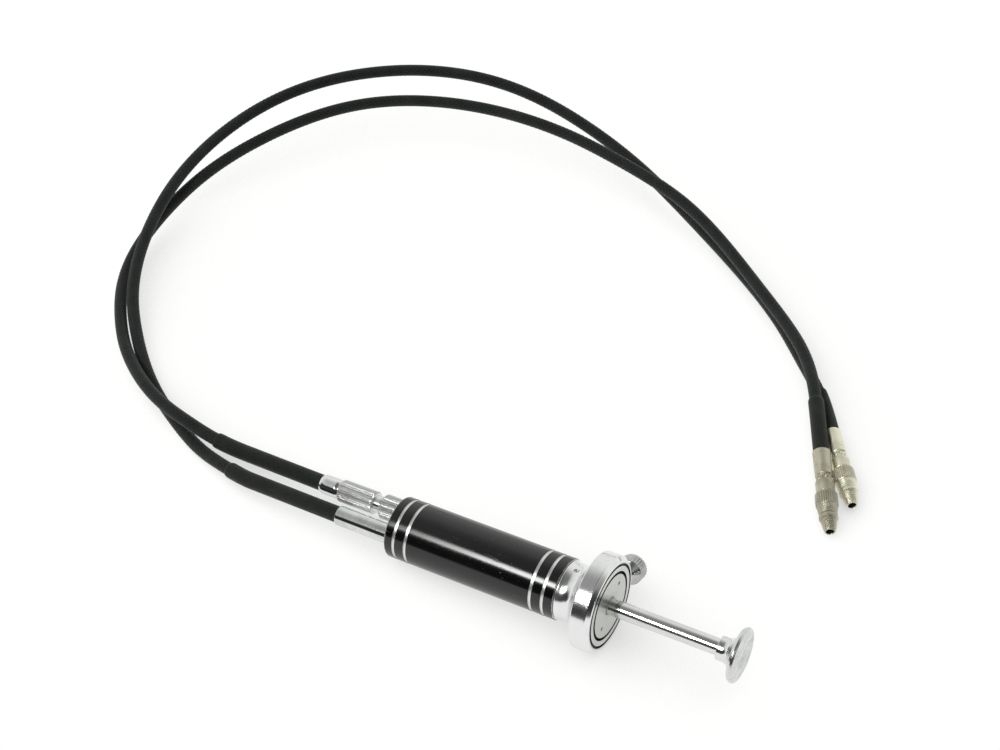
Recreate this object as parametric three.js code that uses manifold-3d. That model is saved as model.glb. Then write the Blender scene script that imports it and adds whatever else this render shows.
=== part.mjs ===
// Twin cable shutter release for a camera.
// A thumb plunger in a cylindrical handle pushes two cable wires at once; each cable ends
// in a tip with a conical end that screws into a release socket. Millimetres, +Z up.
// The release rests on a table on its finger flange and the barrel's rear rim, so the
// handle's axis is tilted by TILT, thumb button uppermost. The origin is the centre of the
// finger flange's front face. In the handle group X runs along the axis, towards the button.
// Cable f leaves the fixed ferrule (y < 0), cable t the adjustable one (y > 0).
import * as THREE from 'three';
import { mergeVertices } from 'three/addons/utils/BufferGeometryUtils.js';
import Module from 'manifold-3d';

const { degToRad } = THREE.MathUtils;

// ---------------------------------------------------------------- dimensions
// Radial clearances between mating parts
const FIT = 0.06;
const CLOSE_FIT = 0.04;

// Barrel
const BARREL_R = 7.55;
const CHAMBER_R = 6.0;           // bore the pressure plate runs in
const BARREL_REAR = -56.5;
const BARREL_CHAMFER = 0.4;      // at the rear rim
const BARREL_FRONT = -11.25;     // front of the full-width barrel
const NOSE_R = 5.2;              // barrel nose inside the flange's neck
const NOSE_FRONT = -6.6;
const NOSE_BORE_R = 4.2;
const CHAMBER_FRONT = -13.2;     // shoulder that stops the pressure plate
const GROOVE_W = 0.76;
const GROOVE_D = 0.25;
const GROOVES = [-53.9, -50.75, -17.15, -14.0];

// Finger flange and front plate
const FLANGE_R = 11.8;
const RIM_BACK = -4.6;           // rear edge of the flange's rim band
const RIM_FRONT = -1.0;
const FACE_RING_R = 10.0;        // ring groove in the front face
const FACE_RING_HALF_W = 0.26;
const FACE_RING_D = 0.2;
const PLATE_R = 8.13;
const PLATE_T = 1.25;
const PLATE_SEAT = -PLATE_T - 0.05;
const SPANNER_R = 5.6;           // spanner holes' circle
const SPANNER_HOLE_R = 0.7;
const SPANNER_ANGLE = 34;        // degrees from +Y towards +Z

// Screws that enter the flange's neck from the side
const LOCK_X = -2.75;
const LOCK_ANGLE = -18.5;        // degrees from +Y towards +Z
const LOCK_SHANK_R = 1.1;
const GRUB_X = -8.8;
const GRUB_ANGLE = 83;           // degrees from +Y towards +Z
const GRUB_R = 0.6;
const GRUB_TOP = 6.78;           // outer end, from the handle's axis

// Plunger
const ROD_R = 2.0;
const ROD_TAIL_R = 1.5;          // carries the pressure plate and its nut
const BUTTON_BACK = 27.3;
const BUTTON_FACE = 33.0;
const BUTTON_R = 6.6;
const SPRING = { radius: 4.95, wireR: 0.4, back: -48.85, front: -18.75, turns: 8, perTurn: 10 };

// Rear fittings
const F_Y = -3.3;                // where each cable leaves the handle, off its axis
const T_Y = 3.95;
const F_SEAT = -66.0;            // floor of the sheath's seat in each ferrule
const T_SEAT = -77.45;
const STUD_R = 1.72;

// Cables
const WIRE_R = 0.5;
const WIRE_BORE = 0.62;
const SHEATH_R = 1.66;
const SHEATH_BORE = 1.12;
const SHEATH_SEAT_R = SHEATH_R + FIT;
const LINER_R = 1.02;
const LINER_BORE = 0.74;
const SLEEVE_R = 2.05;           // strain reliefs
const SLEEVE_BORE = 1.7;
const SLEEVE_SEAT_R = 2.12;
const SHEATH_INSERT = 3.3;       // how far sheath and sleeve enter the tip's ferrule
const SLEEVE_INSERT = 1.5;
const F_WIRE_START = 24.0;       // along the cable; the push wire serves before this
const T_REAR_END = 37.0;         // along the cable; end of the sheath's rear part
const ADJUST_TRAVEL = 2;         // how far the adjuster screws out
const ADJUST_MARGIN = 0.4;
const FLEX_BEFORE_TIP = 42;      // where each cable flexes, measured back from its ferrule
const FLEX_GAP = 0.9;
const MIN_STATION_GAP = 0.7;
const TIP_LEN = 24.1;

const TILT = Math.atan((FLANGE_R - BARREL_R) / (RIM_BACK - (BARREL_REAR + BARREL_CHAMFER)));

// Centre lines of the two cables: [x, y, z] in the release's frame, from the end of the
// straight run behind the handle to the mouth of the tip's ferrule.
const F_LINE = [
  [-96.61, -3.12, -7.88], [-105.35, -1.90, -8.90], [-115.63, 0.92, -10.28],
  [-126.88, 5.97, -10.59], [-136.47, 11.38, -10.47], [-145.15, 17.76, -9.75],
  [-153.30, 25.45, -8.50], [-160.17, 33.41, -7.21], [-165.42, 41.69, -6.01],
  [-169.60, 51.04, -4.79], [-172.98, 62.06, -3.48], [-175.02, 73.01, -2.29],
  [-175.57, 83.45, -1.23], [-174.75, 93.95, -0.21], [-172.61, 104.09, 0.74],
  [-169.32, 113.36, 1.56], [-164.95, 121.65, 2.24], [-159.43, 129.18, 2.76],
  [-152.59, 136.12, 3.13], [-144.58, 142.32, 3.31], [-135.86, 147.40, 3.25],
  [-126.85, 151.14, 2.93], [-117.64, 153.51, 2.36], [-107.99, 154.57, 1.48],
  [-97.32, 154.29, 0.21], [-84.93, 152.56, -1.61], [-72.47, 149.59, -3.62],
  [-60.58, 145.36, -5.46], [-48.89, 139.94, -7.08], [-37.41, 134.03, -8.47],
  [-26.11, 127.72, -9.56], [-15.21, 120.70, -10.23], [-5.15, 112.78, -10.54],
  [4.20, 103.77, -10.58], [13.04, 94.27, -9.95], [21.19, 82.66, -9.29],
];
const T_LINE = [
  [-103.09, 4.15, -8.35], [-112.11, 3.98, -8.02], [-121.68, 4.66, -6.80],
  [-129.74, 6.37, -6.66], [-137.59, 9.49, -7.09], [-145.48, 14.18, -7.78],
  [-153.36, 20.42, -8.29], [-160.48, 28.14, -8.45], [-166.21, 36.11, -8.49],
  [-170.19, 43.99, -8.43], [-172.71, 52.23, -8.18], [-173.98, 61.51, -7.62],
  [-173.98, 71.99, -6.63], [-172.65, 82.18, -5.41], [-169.89, 91.94, -4.09],
  [-165.23, 102.60, -2.65], [-159.07, 113.39, -1.41], [-152.76, 121.94, -0.64],
  [-146.13, 128.63, -0.21], [-138.56, 134.18, 0.02], [-129.74, 138.83, 0.08],
  [-119.70, 142.45, 0.02], [-108.59, 144.92, -0.20], [-96.88, 146.05, -0.59],
  [-84.86, 145.77, -1.13], [-71.84, 143.98, -1.71], [-58.84, 141.35, -2.36],
  [-47.47, 138.14, -3.36], [-37.48, 133.77, -4.61], [-26.45, 127.29, -5.93],
  [-15.55, 119.74, -6.69], [-4.97, 111.73, -6.82], [3.13, 104.41, -6.70],
  [8.96, 97.00, -6.40], [14.95, 86.70, -6.35], [21.90, 73.60, -7.45],
];
const F_TIP_DIR = new THREE.Vector3(0.5657, -0.8246, 0).normalize();
const T_TIP_DIR = new THREE.Vector3(0.4736, -0.8773, -0.0786).normalize();

// ----------------------------------------------------------------- materials
const material = (settings) => new THREE.MeshStandardMaterial(settings);
const anodised = material({ color: 0x0b0b0c, roughness: 0.28, metalness: 0.3 });
const aluminium = material({ color: 0xc9cacb, roughness: 0.3, metalness: 1 });
const chrome = material({ color: 0xdcdcdc, roughness: 0.12, metalness: 1 });
const nickel = material({ color: 0xb5ab9b, roughness: 0.3, metalness: 1 });
const steel = material({ color: 0x8d9094, roughness: 0.35, metalness: 1 });
const brass = material({ color: 0xb6924a, roughness: 0.35, metalness: 1 });
const cloth = material({ color: 0x1b1d1c, roughness: 0.9, metalness: 0 });
const sleeveBlack = material({ color: 0x101111, roughness: 0.8, metalness: 0 });
const coil = material({ color: 0x9a9c9e, roughness: 0.35, metalness: 1 });

// ------------------------------------------------------------------- helpers
// Corner radius of a polygonal bore whose flats lie r from its axis, so a round of
// radius below r fits whatever its own number of sides.
const bore = (r, sides) => r / Math.cos(Math.PI / sides);

// Welds a geometry into a closed solid with outward faces.
function tidy(geometry) {
  geometry.deleteAttribute('normal');
  geometry.deleteAttribute('uv');
  const merged = mergeVertices(geometry, 1e-4);
  const position = merged.attributes.position;
  const source = merged.index.array;
  const corners = [0, 1, 2].map(() => new THREE.Vector3());
  const kept = [];
  let volume = 0;
  for (let i = 0; i < source.length; i += 3) {
    const triangle = [source[i], source[i + 1], source[i + 2]];
    if (new Set(triangle).size < 3) continue;
    corners.forEach((corner, k) => corner.fromBufferAttribute(position, triangle[k]));
    volume += corners[0].dot(corners[1].cross(corners[2]));
    kept.push(...triangle);
  }
  if (volume < 0) {
    for (let i = 0; i < kept.length; i += 3) {
      [kept[i + 1], kept[i + 2]] = [kept[i + 2], kept[i + 1]];
    }
  }
  merged.setIndex(kept);
  merged.computeVertexNormals();
  return merged;
}

// Solid of revolution about X: profile of [x, radius], closed on itself unless it
// starts and ends on the axis.
function turned(profile, sides) {
  const points = profile.map(([x, radius]) => new THREE.Vector2(radius, x));
  const onAxis = profile[0][1] === 0 && profile[profile.length - 1][1] === 0;
  if (!onAxis) points.push(points[0].clone());
  return tidy(new THREE.LatheGeometry(points, sides).rotateZ(-Math.PI / 2));
}

// Round bar along X from x0 to x1.
const bar = (x0, x1, radius, sides) => turned([[x0, 0], [x0, radius], [x1, radius], [x1, 0]], sides);

// Turns a shape made along X so that X points outwards at an angle from +Y towards +Z.
const radial = (geometry, degrees) => geometry.rotateZ(Math.PI / 2).rotateX(degToRad(degrees));

const wasm = await Module();
wasm.setup();

const toManifold = (geometry) => new wasm.Manifold(new wasm.Mesh({
  numProp: 3,
  vertProperties: new Float32Array(geometry.attributes.position.array),
  triVerts: new Uint32Array(geometry.index.array),
}));

function fromManifold(manifold) {
  const { numProp, vertProperties, triVerts } = manifold.getMesh();
  const count = vertProperties.length / numProp;
  const xyz = new Float32Array(count * 3);
  for (let i = 0; i < count; i++) {
    for (let k = 0; k < 3; k++) xyz[3 * i + k] = vertProperties[numProp * i + k];
  }
  const geometry = new THREE.BufferGeometry();
  geometry.setAttribute('position', new THREE.BufferAttribute(xyz, 3));
  geometry.setIndex(Array.from(triVerts));
  geometry.computeVertexNormals();
  return geometry;
}

const cut = (body, ...tools) => fromManifold(
  tools.reduce((rest, tool) => rest.subtract(toManifold(tool)), toManifold(body)));

function piece(parent, name, geometry, surface) {
  const mesh = new THREE.Mesh(geometry, surface);
  mesh.name = name;
  parent.add(mesh);
}

// A centre line with one set of stations and frames, shared by every layer of the
// cable so that sheath, liner and wire nest exactly.
class CentreLine {
  constructor(points) {
    this.points = points;
    this.length = [0];
    for (let i = 1; i < points.length; i++) {
      this.length.push(this.length[i - 1] + points[i].distanceTo(points[i - 1]));
    }
    this.total = this.length[points.length - 1];
    const direction = (i) => (points[i] && points[i + 1]
      ? points[i + 1].clone().sub(points[i]).normalize()
      : new THREE.Vector3());
    const tangents = points.map((_, i) => direction(i - 1).add(direction(i)).normalize());
    const up = new THREE.Vector3(0, 0, 1);
    this.normals = tangents.map((t) => up.clone().addScaledVector(t, -up.dot(t)).normalize());
    this.binormals = tangents.map((t, i) => t.clone().cross(this.normals[i]));
  }

  at(distance) {
    let i = 0;
    while (i < this.points.length - 2 && this.length[i + 1] < distance) i++;
    const share = (distance - this.length[i]) / (this.length[i + 1] - this.length[i]);
    const mix = (list) => list[i].clone().lerp(list[i + 1], share);
    return { point: mix(this.points), normal: mix(this.normals), binormal: mix(this.binormals) };
  }

  // Stations from one distance to another, dropping points too close to the ends.
  between(from, to) {
    const inside = this.length.filter(
      (s) => s > from + MIN_STATION_GAP && s < to - MIN_STATION_GAP);
    return [from, ...inside, to].map((s) => this.at(s));
  }
}

const polygon = (radius, sides) => Array.from({ length: sides }, (_, i) => {
  const angle = (2 * Math.PI * i) / sides;
  return new THREE.Vector2(radius * Math.cos(angle), radius * Math.sin(angle));
});

// Round bar or tube through stations of { point, normal, binormal }.
function swept(stations, radius, sides, boreRadius = 0, boreSides = 6) {
  const shape = new THREE.Shape(polygon(radius, sides));
  if (boreRadius) shape.holes.push(new THREE.Path(polygon(boreRadius, boreSides).reverse()));
  // Only the two methods ExtrudeGeometry calls, giving the stations as they are.
  const extrudePath = {
    getSpacedPoints: () => stations.map((s) => s.point),
    computeFrenetFrames: () => ({
      normals: stations.map((s) => s.normal),
      binormals: stations.map((s) => s.binormal),
    }),
  };
  return tidy(new THREE.ExtrudeGeometry(shape, {
    steps: stations.length - 1, extrudePath, curveSegments: 1,
  }));
}

// -------------------------------------------------------------------- handle
const release = new THREE.Group();
const handle = new THREE.Group();
handle.rotation.y = -TILT;
release.add(handle);

const groove = (x) => [
  [x - GROOVE_W / 2, BARREL_R], [x - GROOVE_W / 2, BARREL_R - GROOVE_D],
  [x + GROOVE_W / 2, BARREL_R - GROOVE_D], [x + GROOVE_W / 2, BARREL_R],
];
piece(handle, 'barrel', turned([
  [BARREL_REAR, bore(CHAMBER_R, 28)],
  [BARREL_REAR, BARREL_R - BARREL_CHAMFER], [BARREL_REAR + BARREL_CHAMFER, BARREL_R],
  ...GROOVES.flatMap(groove),
  [BARREL_FRONT - 0.2, BARREL_R], [BARREL_FRONT, BARREL_R - 0.2], [BARREL_FRONT, NOSE_R],
  [NOSE_FRONT, NOSE_R], [NOSE_FRONT, NOSE_BORE_R],
  [CHAMBER_FRONT, NOSE_BORE_R], [CHAMBER_FRONT, bore(CHAMBER_R, 28)],
], 28), anodised);

// Finger flange: waisted neck, rim band, ring groove and plate recess.
const NECK_BORE = bore(NOSE_R + 0.05, 32);
const NECK_FLOOR = -6.45;
const PLATE_RECESS_R = bore(PLATE_R + CLOSE_FIT, 32);
const flangeBlank = turned([
  [BARREL_FRONT + 0.05, NECK_BORE], [BARREL_FRONT + 0.05, 7.1], [BARREL_FRONT + 0.35, 7.3],
  [-10.3, 7.1], [-9.4, 6.95], [-8.3, 7.0], [-7.3, 7.35], [-6.4, 8.15], [-5.6, 9.5], [-5.0, 11.2],
  [RIM_BACK, FLANGE_R], [RIM_FRONT, FLANGE_R], [-0.12, 10.95], [0, 10.75],
  [0, FACE_RING_R + FACE_RING_HALF_W], [-FACE_RING_D, FACE_RING_R + FACE_RING_HALF_W],
  [-FACE_RING_D, FACE_RING_R - FACE_RING_HALF_W], [0, FACE_RING_R - FACE_RING_HALF_W],
  [0, PLATE_RECESS_R], [PLATE_SEAT, PLATE_RECESS_R], [PLATE_SEAT, 2.3],
  [NECK_FLOOR, 2.3], [NECK_FLOOR, NECK_BORE],
], 32);
const lockHole = radial(bar(1.0, 13.0, bore(1.2, 12), 12), LOCK_ANGLE).translate(LOCK_X, 0, 0);
const grubHole = radial(bar(4.6, 8.5, bore(GRUB_R + FIT, 12), 12), GRUB_ANGLE)
  .translate(GRUB_X, 0, 0);
piece(handle, 'finger_flange', cut(flangeBlank, lockHole, grubHole), aluminium);

// Front plate with two opposite spanner holes
function spannerHole(side) {
  const angle = degToRad(SPANNER_ANGLE);
  const reach = side * SPANNER_R;
  return bar(-PLATE_T - 1, 1, SPANNER_HOLE_R, 10)
    .translate(0, reach * Math.cos(angle), reach * Math.sin(angle));
}
const PLATE_BORE = bore(ROD_R + FIT, 24);
piece(handle, 'front_plate', cut(turned([
  [-PLATE_T, PLATE_BORE], [-PLATE_T, PLATE_R], [0, PLATE_R], [0, PLATE_BORE],
], 32), spannerHole(1), spannerHole(-1)), aluminium);

// Slotted grub screw in the flange's neck
const grubBlank = radial(turned([
  [5.3, 0], [5.3, 0.4], [5.45, GRUB_R], [6.7, GRUB_R], [GRUB_TOP, 0.52], [GRUB_TOP, 0],
], 12), GRUB_ANGLE);
const grubSlot = new THREE.BoxGeometry(1.8, 0.2, 0.7)
  .translate(0, 0, GRUB_TOP)
  .rotateX(degToRad(GRUB_ANGLE - 90));
piece(handle, 'flange_set_screw',
  cut(grubBlank, tidy(grubSlot)).translate(GRUB_X, 0, 0), steel);

// Plug that closes the chamber and holds the two cable fittings
const PLUG_FRONT = -49.4;
const plugBore = (y, r, sides) => bar(-60, -45, bore(r, sides), sides).translate(0, y, 0);
piece(handle, 'rear_plug', cut(turned([
  [BARREL_REAR + 0.1, 0], [BARREL_REAR + 0.1, CHAMBER_R - FIT],
  [PLUG_FRONT, CHAMBER_R - FIT], [PLUG_FRONT, 0],
], 28), plugBore(F_Y, 1.5, 12), plugBore(T_Y, 1.8, 14)), steel);

// ------------------------------------------------------------------- plunger
piece(handle, 'plunger_rod', turned([
  [-20.4, 0], [-20.4, 1.3], [-20.2, ROD_TAIL_R], [-13.3, ROD_TAIL_R],
  [-13.3, ROD_R], [30.8, ROD_R], [31.0, 1.8], [31.0, 0],
], 24), chrome);

// Thumb button: bored for the rod, flared to a disc with a dimple in its face
const BUTTON_BORE = bore(ROD_R + 0.02, 28);
piece(handle, 'plunger_button', turned([
  [31.15, 0], [31.15, BUTTON_BORE], [BUTTON_BACK, BUTTON_BORE],
  [BUTTON_BACK, 2.65], [BUTTON_BACK + 0.25, 2.85], [29.3, 2.85],
  [30.0, 3.05], [30.65, 3.7], [31.1, 4.8], [31.4, 5.9], [31.7, 6.4],
  [32.3, BUTTON_R], [32.8, 6.4], [BUTTON_FACE, 5.9],
  [BUTTON_FACE, 1.3], [32.7, 1.0], [32.7, 0],
], 28), chrome);

// Pressure plate on the rod's tail, with a hole for each wire
const wireHole = (y) => bar(-22, -12, bore(WIRE_R + CLOSE_FIT, 8), 8).translate(0, y, 0);
const PRESSURE_BORE = bore(ROD_TAIL_R + CLOSE_FIT, 16);
piece(handle, 'pressure_plate', cut(turned([
  [-18.2, PRESSURE_BORE], [-18.2, 5.4], [-17.8, 5.9],
  [-13.8, 5.9], [-13.36, 5.5], [-13.36, PRESSURE_BORE],
], 28), wireHole(T_Y), wireHole(F_Y)), brass);

const NUT_BORE = bore(ROD_TAIL_R + CLOSE_FIT, 6);
piece(handle, 'piston_nut', turned([
  [-20.1, NUT_BORE], [-20.1, 2.6], [-18.3, 2.6], [-18.3, NUT_BORE],
], 6), steel);

for (const [tag, y, rearEnd] of [['f', F_Y, -73], ['t', T_Y, -80]]) {
  piece(handle, `push_wire_${tag}`, bar(rearEnd, -13.9, WIRE_R, 8).translate(0, y, 0), steel);
}

// Return spring between the rear plug and the pressure plate
function springStations({ radius, back, front, turns, perTurn }) {
  const steps = turns * perTurn;
  return Array.from({ length: steps + 1 }, (_, i) => {
    const share = i / steps;
    const angle = 2 * Math.PI * turns * share;
    const [y, z] = [Math.cos(angle), Math.sin(angle)];
    const advance = (front - back) / (2 * Math.PI * turns);
    const normal = new THREE.Vector3(0, y, z);
    return {
      point: new THREE.Vector3(back + (front - back) * share, radius * y, radius * z),
      normal,
      binormal: new THREE.Vector3(advance, -radius * z, radius * y).normalize().cross(normal),
    };
  });
}
piece(handle, 'return_spring', swept(springStations(SPRING), SPRING.wireR, 5), steel);

// ---------------------------------------------------------------- lock screw
// Profiles are [distance from the handle's axis, radius].
piece(handle, 'lock_screw', radial(turned([
  [4.65, 0], [4.65, LOCK_SHANK_R], [12.1, LOCK_SHANK_R], [12.5, LOCK_SHANK_R],
  [12.5, 1.75], [13.1, 1.7], [14.0, 2.0], [14.8, 2.75], [15.2, 3.25], [15.5, 3.4],
  [18.2, 3.4], [18.55, 3.1], [18.85, 1.8], [18.95, 0],
], 16), LOCK_ANGLE).translate(LOCK_X, 0, 0), chrome);

// Pad between the lock screw and the plunger rod
piece(handle, 'lock_pad', radial(turned([
  [2.58, 0], [2.58, 0.95], [2.75, LOCK_SHANK_R], [4.5, LOCK_SHANK_R], [4.5, 0],
], 12), LOCK_ANGLE).translate(LOCK_X, 0, 0), brass);

// ------------------------------------------------------------- rear fittings
const fitting = (name, y, sides, surface, profile) => piece(
  handle, name, turned(profile, sides).translate(0, y, 0), surface);

// Stepped bore of a handle ferrule, from its wire bore's front end back to its mouth
const ferruleBore = (front, seat, sleeveSeat, mouth) => [
  [front, bore(WIRE_BORE, 16)], [seat, bore(WIRE_BORE, 16)],
  [seat, bore(SHEATH_SEAT_R, 16)], [sleeveSeat, bore(SHEATH_SEAT_R, 16)],
  [sleeveSeat, bore(SLEEVE_SEAT_R, 16)], [mouth, bore(SLEEVE_SEAT_R, 16)],
];
fitting('fixed_ferrule', F_Y, 16, chrome, [
  [-71.7, 2.3], [-71.5, 2.42], [-56.7, 2.42], [BARREL_REAR, 2.3],
  [BARREL_REAR, 1.44], [-50.0, 1.44],
  ...ferruleBore(-50.0, F_SEAT, -68.0, -71.7),
]);
fitting('adjuster_stud', T_Y, 14, steel, [
  [-70.0, bore(WIRE_BORE, 14)], [-70.0, 1.5], [-69.8, STUD_R],
  [-50.0, STUD_R], [-50.0, bore(WIRE_BORE, 14)],
]);
const THREAD_BORE = bore(STUD_R + FIT, 18);
fitting('lock_nut', T_Y, 18, chrome, [
  [-63.3, THREAD_BORE], [-63.3, 2.9], [-63.05, 3.15],
  [-56.85, 3.15], [-56.6, 2.9], [-56.6, THREAD_BORE],
]);
fitting('adjuster_sleeve', T_Y, 18, chrome, [
  [-75.55, bore(1.5, 18)], [-75.55, 2.6], [-75.25, 2.87], [-65.7, 2.87], [-65.4, 2.6],
  [-65.4, 2.2], [-63.75, 2.2], [-63.75, THREAD_BORE],
  [-74.15, THREAD_BORE], [-74.15, bore(1.5, 18)],
]);
fitting('adjuster_ferrule', T_Y, 16, chrome, [
  [-81.0, 2.2], [-80.5, 2.42], [-79.7, 2.5], [-76.6, 2.5], [-75.9, 2.42],
  [-75.65, 2.1], [-75.65, 1.42], [-74.0, 1.42], [-74.0, 1.7], [-73.15, 1.7],
  ...ferruleBore(-73.15, T_SEAT, -79.25, -81.0),
]);

// -------------------------------------------------------------------- cables
const vector = (xyz) => new THREE.Vector3(...xyz);

// Starts just behind the ferrule's seat and ends inside the tip's ferrule.
function cableLine(seat, y, list, tipDirection) {
  const start = seat - 0.1;
  const points = list.map(vector);
  const mouth = points[points.length - 1];
  return new CentreLine([
    new THREE.Vector3(start * Math.cos(TILT), y, start * Math.sin(TILT)),
    ...points,
    mouth.clone().addScaledVector(tipDirection, SHEATH_INSERT),
  ]);
}

// Sheath, liner and wire over one stretch; a wireFrom of null leaves the wire out.
function cablePart(tag, part, line, from, to, wireFrom = from) {
  const layer = (name, start, end, surface, ...section) => piece(
    release, `${name}_${tag}_${part}`, swept(line.between(start, end), ...section), surface);
  layer('cable_sheath', from, to, cloth, SHEATH_R, 10, SHEATH_BORE);
  layer('coil_liner', from + 0.05, to - 0.05, coil, LINER_R, 6, LINER_BORE);
  if (wireFrom !== null) layer('inner_wire', wireFrom + 0.1, to - 0.1, steel, WIRE_R, 6);
}

const strainRelief = (place, line, from, to) => piece(
  release, `strain_relief_${place}`,
  swept(line.between(from, to), SLEEVE_R, 12, bore(SLEEVE_BORE, 12), 12), sleeveBlack);

const fLine = cableLine(F_SEAT, F_Y, F_LINE, F_TIP_DIR);
const tLine = cableLine(T_SEAT, T_Y, T_LINE, T_TIP_DIR);
const fMouth = fLine.total - SHEATH_INSERT;
const tMouth = tLine.total - SHEATH_INSERT;
const fFlex = fMouth - FLEX_BEFORE_TIP;
const tFlex = tMouth - FLEX_BEFORE_TIP;
const tMidStart = T_REAR_END + ADJUST_TRAVEL + ADJUST_MARGIN;

cablePart('f', 'rear', fLine, 0, fFlex - FLEX_GAP / 2, F_WIRE_START);
cablePart('f', 'front', fLine, fFlex + FLEX_GAP / 2, fLine.total);
cablePart('t', 'rear', tLine, 0, T_REAR_END, null);
cablePart('t', 'mid', tLine, tMidStart, tFlex - FLEX_GAP / 2);
cablePart('t', 'front', tLine, tFlex + FLEX_GAP / 2, tLine.total);
strainRelief('f_handle', fLine, 2.0, 39.0);
strainRelief('t_handle', tLine, 1.9, 35.5);
strainRelief('f_tip', fLine, fMouth - 15.0, fMouth + SLEEVE_INSERT);
strainRelief('t_tip', tLine, tMouth - 17.0, tMouth + SLEEVE_INSERT);

// ---------------------------------------------------------------------- tips
// In each tip group X runs from the ferrule's mouth to the conical end.
const TIP_BORE = bore(0.7, 14);
const TIP_SHEATH_SEAT = bore(SHEATH_SEAT_R, 14);
const TIP_SLEEVE_SEAT = bore(2.1, 14);
const COLLAR_BORE = bore(1.22, 18);
const COLLAR_MOUTH = bore(1.0, 18);
const TIP_PARTS = [
  { name: 'ferrule', sides: 14, surface: nickel, profile: [
    [0, TIP_SLEEVE_SEAT], [0, 2.2], [0.15, 2.28], [7.5, 2.2], [7.8, 1.85], [8.1, 1.85],
    [8.3, 2.05], [8.6, 2.05], [8.8, 1.85], [9.3, 1.85], [9.3, TIP_BORE], [3.45, TIP_BORE],
    [3.45, TIP_SHEATH_SEAT], [1.6, TIP_SHEATH_SEAT], [1.6, TIP_SLEEVE_SEAT],
  ] },
  { name: 'barrel', sides: 14, surface: nickel, profile: [
    [9.36, TIP_BORE], [9.36, 2.15], [9.6, 2.35], [12.6, 2.35], [12.85, 2.15],
    [12.85, 1.15], [21.2, 1.15], [21.2, TIP_BORE],
  ] },
  { name: 'collar', sides: 18, surface: nickel, profile: [
    [12.95, COLLAR_BORE], [12.95, 2.55], [13.3, 2.83], [16.5, 2.83], [17.0, 2.62],
    [19.2, 2.2], [19.4, 2.05], [19.6, 2.38], [20.4, 2.38], [20.6, 2.1],
    [TIP_LEN - 0.4, 1.5], [TIP_LEN, 1.3], [TIP_LEN, COLLAR_MOUTH],
    [21.4, COLLAR_MOUTH], [21.4, COLLAR_BORE],
  ] },
  { name: 'pin', sides: 10, surface: steel, profile: [
    [4.2, 0], [4.2, 0.6], [22.9, 0.62], [23.1, 0.45], [23.1, 0],
  ] },
];
for (const [tag, list, direction] of [['f', F_LINE, F_TIP_DIR], ['t', T_LINE, T_TIP_DIR]]) {
  const tip = new THREE.Group();
  tip.position.copy(vector(list[list.length - 1]));
  tip.quaternion.setFromUnitVectors(new THREE.Vector3(1, 0, 0), direction);
  release.add(tip);
  for (const { name, sides, surface, profile } of TIP_PARTS) {
    piece(tip, `tip_${name}_${tag}`, turned(profile, sides), surface);
  }
}

export default release;
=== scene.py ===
# Twin cable shutter release: a plunger handle with two cloth-covered cables, f and t.
# The handle's own axis is local X, with the flange's face at x = 0. The thumb button is at the
# front (+X) and the cables leave the rear (-X), loop round and come back to screw-in tips.
# The handle leans: barrel and flange both rest on the table. Sizes are in millimetres unless
# a comment says otherwise.
import math

import bmesh
import bpy
import numpy as np
from mathutils import Matrix, Vector


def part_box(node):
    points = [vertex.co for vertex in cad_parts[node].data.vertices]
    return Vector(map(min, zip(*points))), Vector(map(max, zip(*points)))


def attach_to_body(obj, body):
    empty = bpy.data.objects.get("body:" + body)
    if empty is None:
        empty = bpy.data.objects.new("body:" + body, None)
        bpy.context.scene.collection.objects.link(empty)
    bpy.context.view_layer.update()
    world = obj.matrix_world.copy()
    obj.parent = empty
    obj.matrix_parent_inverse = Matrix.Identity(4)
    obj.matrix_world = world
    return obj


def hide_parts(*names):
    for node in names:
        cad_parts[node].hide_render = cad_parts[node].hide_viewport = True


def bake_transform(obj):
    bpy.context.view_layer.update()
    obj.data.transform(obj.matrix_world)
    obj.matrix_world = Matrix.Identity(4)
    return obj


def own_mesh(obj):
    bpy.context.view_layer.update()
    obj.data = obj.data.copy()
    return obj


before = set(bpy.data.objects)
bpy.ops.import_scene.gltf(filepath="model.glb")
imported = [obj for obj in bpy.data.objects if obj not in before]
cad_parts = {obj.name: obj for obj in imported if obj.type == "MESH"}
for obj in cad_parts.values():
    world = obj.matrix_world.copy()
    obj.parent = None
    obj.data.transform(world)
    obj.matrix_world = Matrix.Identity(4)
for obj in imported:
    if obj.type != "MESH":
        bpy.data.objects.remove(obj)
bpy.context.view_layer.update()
MM = 0.001

# ---------------------------------------------------------------- main dimensions
BARREL_RADIUS = 7.55
FLANGE_RADIUS = 11.8
REAR_REST_X, FLANGE_REST_X = -56.1, -4.6     # where the handle touches the table
TILT = math.atan((FLANGE_RADIUS - BARREL_RADIUS) / (FLANGE_REST_X - REAR_REST_X))
HANDLE = Matrix.Rotation(-TILT, 4, "Y")
AXIS = Vector((math.cos(TILT), 0, math.sin(TILT)))
TABLE_Z = min(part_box("finger_flange")[0][2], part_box("barrel")[0][2])     # metres

CABLE_Y = {"f": -3.3, "t": 3.95}             # sideways offset of each cable in the handle
CABLE_START = {"f": -66.1, "t": -77.55}      # handle x at which each sheath begins
NUT_RADIUS, NUT_KNURL = 3.15, 0.13           # crest radius and knurl depth
ADJUSTER_RADIUS, ADJUSTER_KNURL = 2.87, 0.12
LOCK_X, LOCK_ANGLE = -2.75, -18.5            # radial screw: place, degrees from +Y about X
GRUB_X, GRUB_ANGLE = -8.8, 83
HOLE_SEGS = 40

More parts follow.
